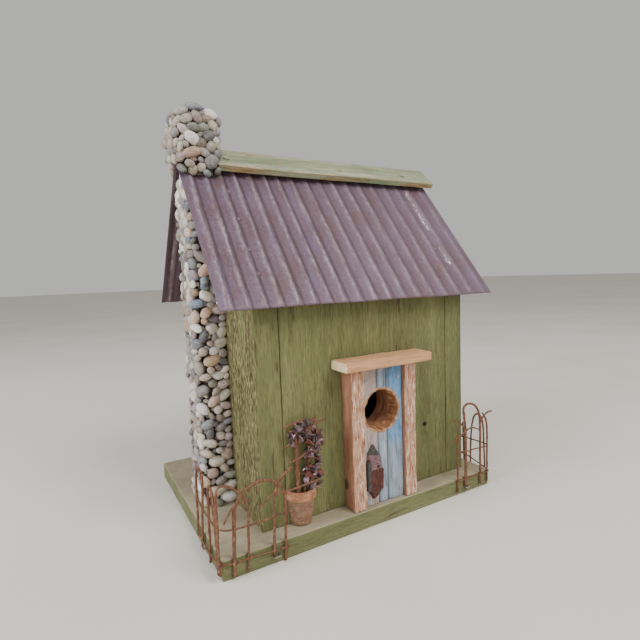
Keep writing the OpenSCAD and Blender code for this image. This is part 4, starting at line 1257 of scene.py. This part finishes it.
def front_wires(paths):
    """Wires drawn in the plane of the front fence, as x and z, or as x, z and their own y."""
    return [([place(p[0], p[2] if len(p) > 2 else front_line, p[1]) for p in path], r * wire_thinned)
            for path, r in paths]


def side_wires(paths, line):
    """Wires drawn in the plane of a side fence, as pairs of y and z."""
    return [([place(line, p[0], p[1]) for p in path], r * wire_thinned) for path, r in paths]


left_hoops = front_wires([
    ([(-30.6, -14), (-29.4, 10), (-28.2, 32), (-26.8, 41), (-21, 49), (-9.6, 53.4), (0.6, 52.2), (7.5, 46.5),
      (11.8, 40), (12.6, 30), (11.3, 5), (10.6, -14.7)], 1.15),
    ([(-41.8, -8), (-41.2, 20), (-41.4, 50), (-39.8, 57), (-33.5, 56.4), (-26, 51), (-19.8, 44), (-17.4, 34),
      (-18.6, 10), (-19.8, -12.4)], 1.05),
    ([(1.5, -8.4), (2.4, 20), (3.6, 38), (6.2, 47), (12.0, 53.6), (19.6, 57.2)], 1.15),
    ([(-31.2, -13), (-30.6, 8), (-29.6, 30), (-29.0, 39), (-23.0, 40.6)], 0.8),
    ([(-36.5, 28), (-32, 36), (-27, 41), (-16.8, 41.3)], 0.75),
    ([(-9.5, 31.5), (-4, 36.2), (1.5, 40.4), (10.4, 39.8, -20.5), (26, 40.0, -20), (42.6, 41.2, -19)], 0.85)])
left_hoops += side_wires([
    ([(-18.8, -10), (-15.5, 10), (-14.5, 34), (-10, 45), (-3.6, 52), (3.4, 47), (3.6, 20), (7.8, -14)], 1.1),
    ([(-13, -12), (-10.4, 20), (-6, 49)], 0.9),
    ([(29.7, -12.5), (24, 12), (18, 38), (20, 50), (27, 55), (34, 51), (37, 40), (38.5, 15), (40.2, -8)],
     1.1),
    ([(14.8, 53.9), (18, 38), (23, 14), (26, -9)], 0.85)], left_line)
left_rails = front_wires([
    ([(-40.5, 24.6, 38), (-40.8, 23, 12), (-40.9, 23.4, -12), (-39.0, 23.6, -18), (-31, 22.2), (-18, 21.4),
      (-8, 21.6), (2.4, 22.6), (11, 23.2), (18.2, 22.6)], 0.75),
    ([(-41.0, -4, 38), (-41.4, -5.5, 14), (-41.6, -2.6, -12), (-39.5, -2.2, -19), (-32.4, -3), (-19.4, -3.4),
      (-8, -4.4), (2.2, -4.6), (15.2, -4.8)], 0.75)])
bend_wires("left_fence_hoop_wires", left_hoops, 10, 80, "left_fence_hoops")
bend_wires("left_fence_rail_wires", left_rails, 8, 90, "left_fence_rails")

right_hoops = front_wires([
    ([(206.7, -11.3), (207.2, 20), (206.6, 52), (203.4, 64), (203.6, 71), (208, 73.6), (214.5, 73),
      (221, 69.4), (226.4, 60), (226.9, 40), (226.5, -11)], 1.2),
    ([(195.6, -12), (195.9, 16), (196.2, 44.6)], 1.1),
    ([(205.4, -8), (205.8, 20), (205.6, 50), (205.0, 66)], 0.9),
    ([(236.7, -11.5), (236.6, 20), (236.9, 44), (235, 54), (230, 60.5)], 1.0),
    ([(226.6, 50), (231, 57.4), (238, 60.6), (243.4, 60)], 0.9),
    ([(190.4, 59.4), (197, 58.5), (203.6, 52), (206, 44)], 0.8),
    ([(188.4, 39.2), (195, 42), (204.2, 45.2), (214, 50), (226, 44)], 0.8)])
right_hoops += side_wires([
    ([(-13, -12), (-12, 20), (-11, 48), (-5, 55), (2, 50), (5, 30), (6, -10)], 1.0),
    ([(14, -12), (15, 16), (16, 40)], 1.0)], right_line)
right_rails = front_wires([
    ([(194.6, 28), (202, 27.0), (209.5, 25.6), (217, 26.6), (224.3, 25.8), (235, 25.4), (239.6, 25.2, -18.4),
      (241.2, 25, -10), (241.6, 24, 8), (241.5, 23, 20)], 0.75),
    ([(195.8, -0.6), (204, -1.2), (211.3, -0.6), (225, -1.2), (237, -1.6), (240.4, -1.8, -18.6),
      (241.6, 0, -10), (241.8, 4, 8), (241.6, 4.8, 20)], 0.75)])
bend_wires("right_fence_hoop_wires", right_hoops, 10, 100, "right_fence_hoops")
bend_wires("right_fence_rail_wires", right_rails, 8, 110, "right_fence_rails")

# ---------------------------------------------------------------------------
# Clean-out cover.  A square of the same green board that hangs on one screw over a hole in
# the back wall, and swings aside to empty the nest.
# ---------------------------------------------------------------------------
low, high, points, faces, worn = sawn("cleanout_cover", (0.0028, 0.0028, 0.0028), 0.0011, 0.0004,
                                      upright_grain, 121)
cleanout_cover = fit("cleanout_cover_sawn", points, faces, wall_finish, "wall_paint",
                     marks={"worn": worn * 0.8}, body="cleanout_door", stands_for=["cleanout_cover"])
pivot_centre, pivot_radius = (hole_centre[0], 0.110), 0.0026
before, behind = low[1] - 0.002, high[1] + 0.002
cut(cleanout_cover, drill("pivot_drill", pivot_centre, pivot_radius, before, behind, 0.0, 7, 32))
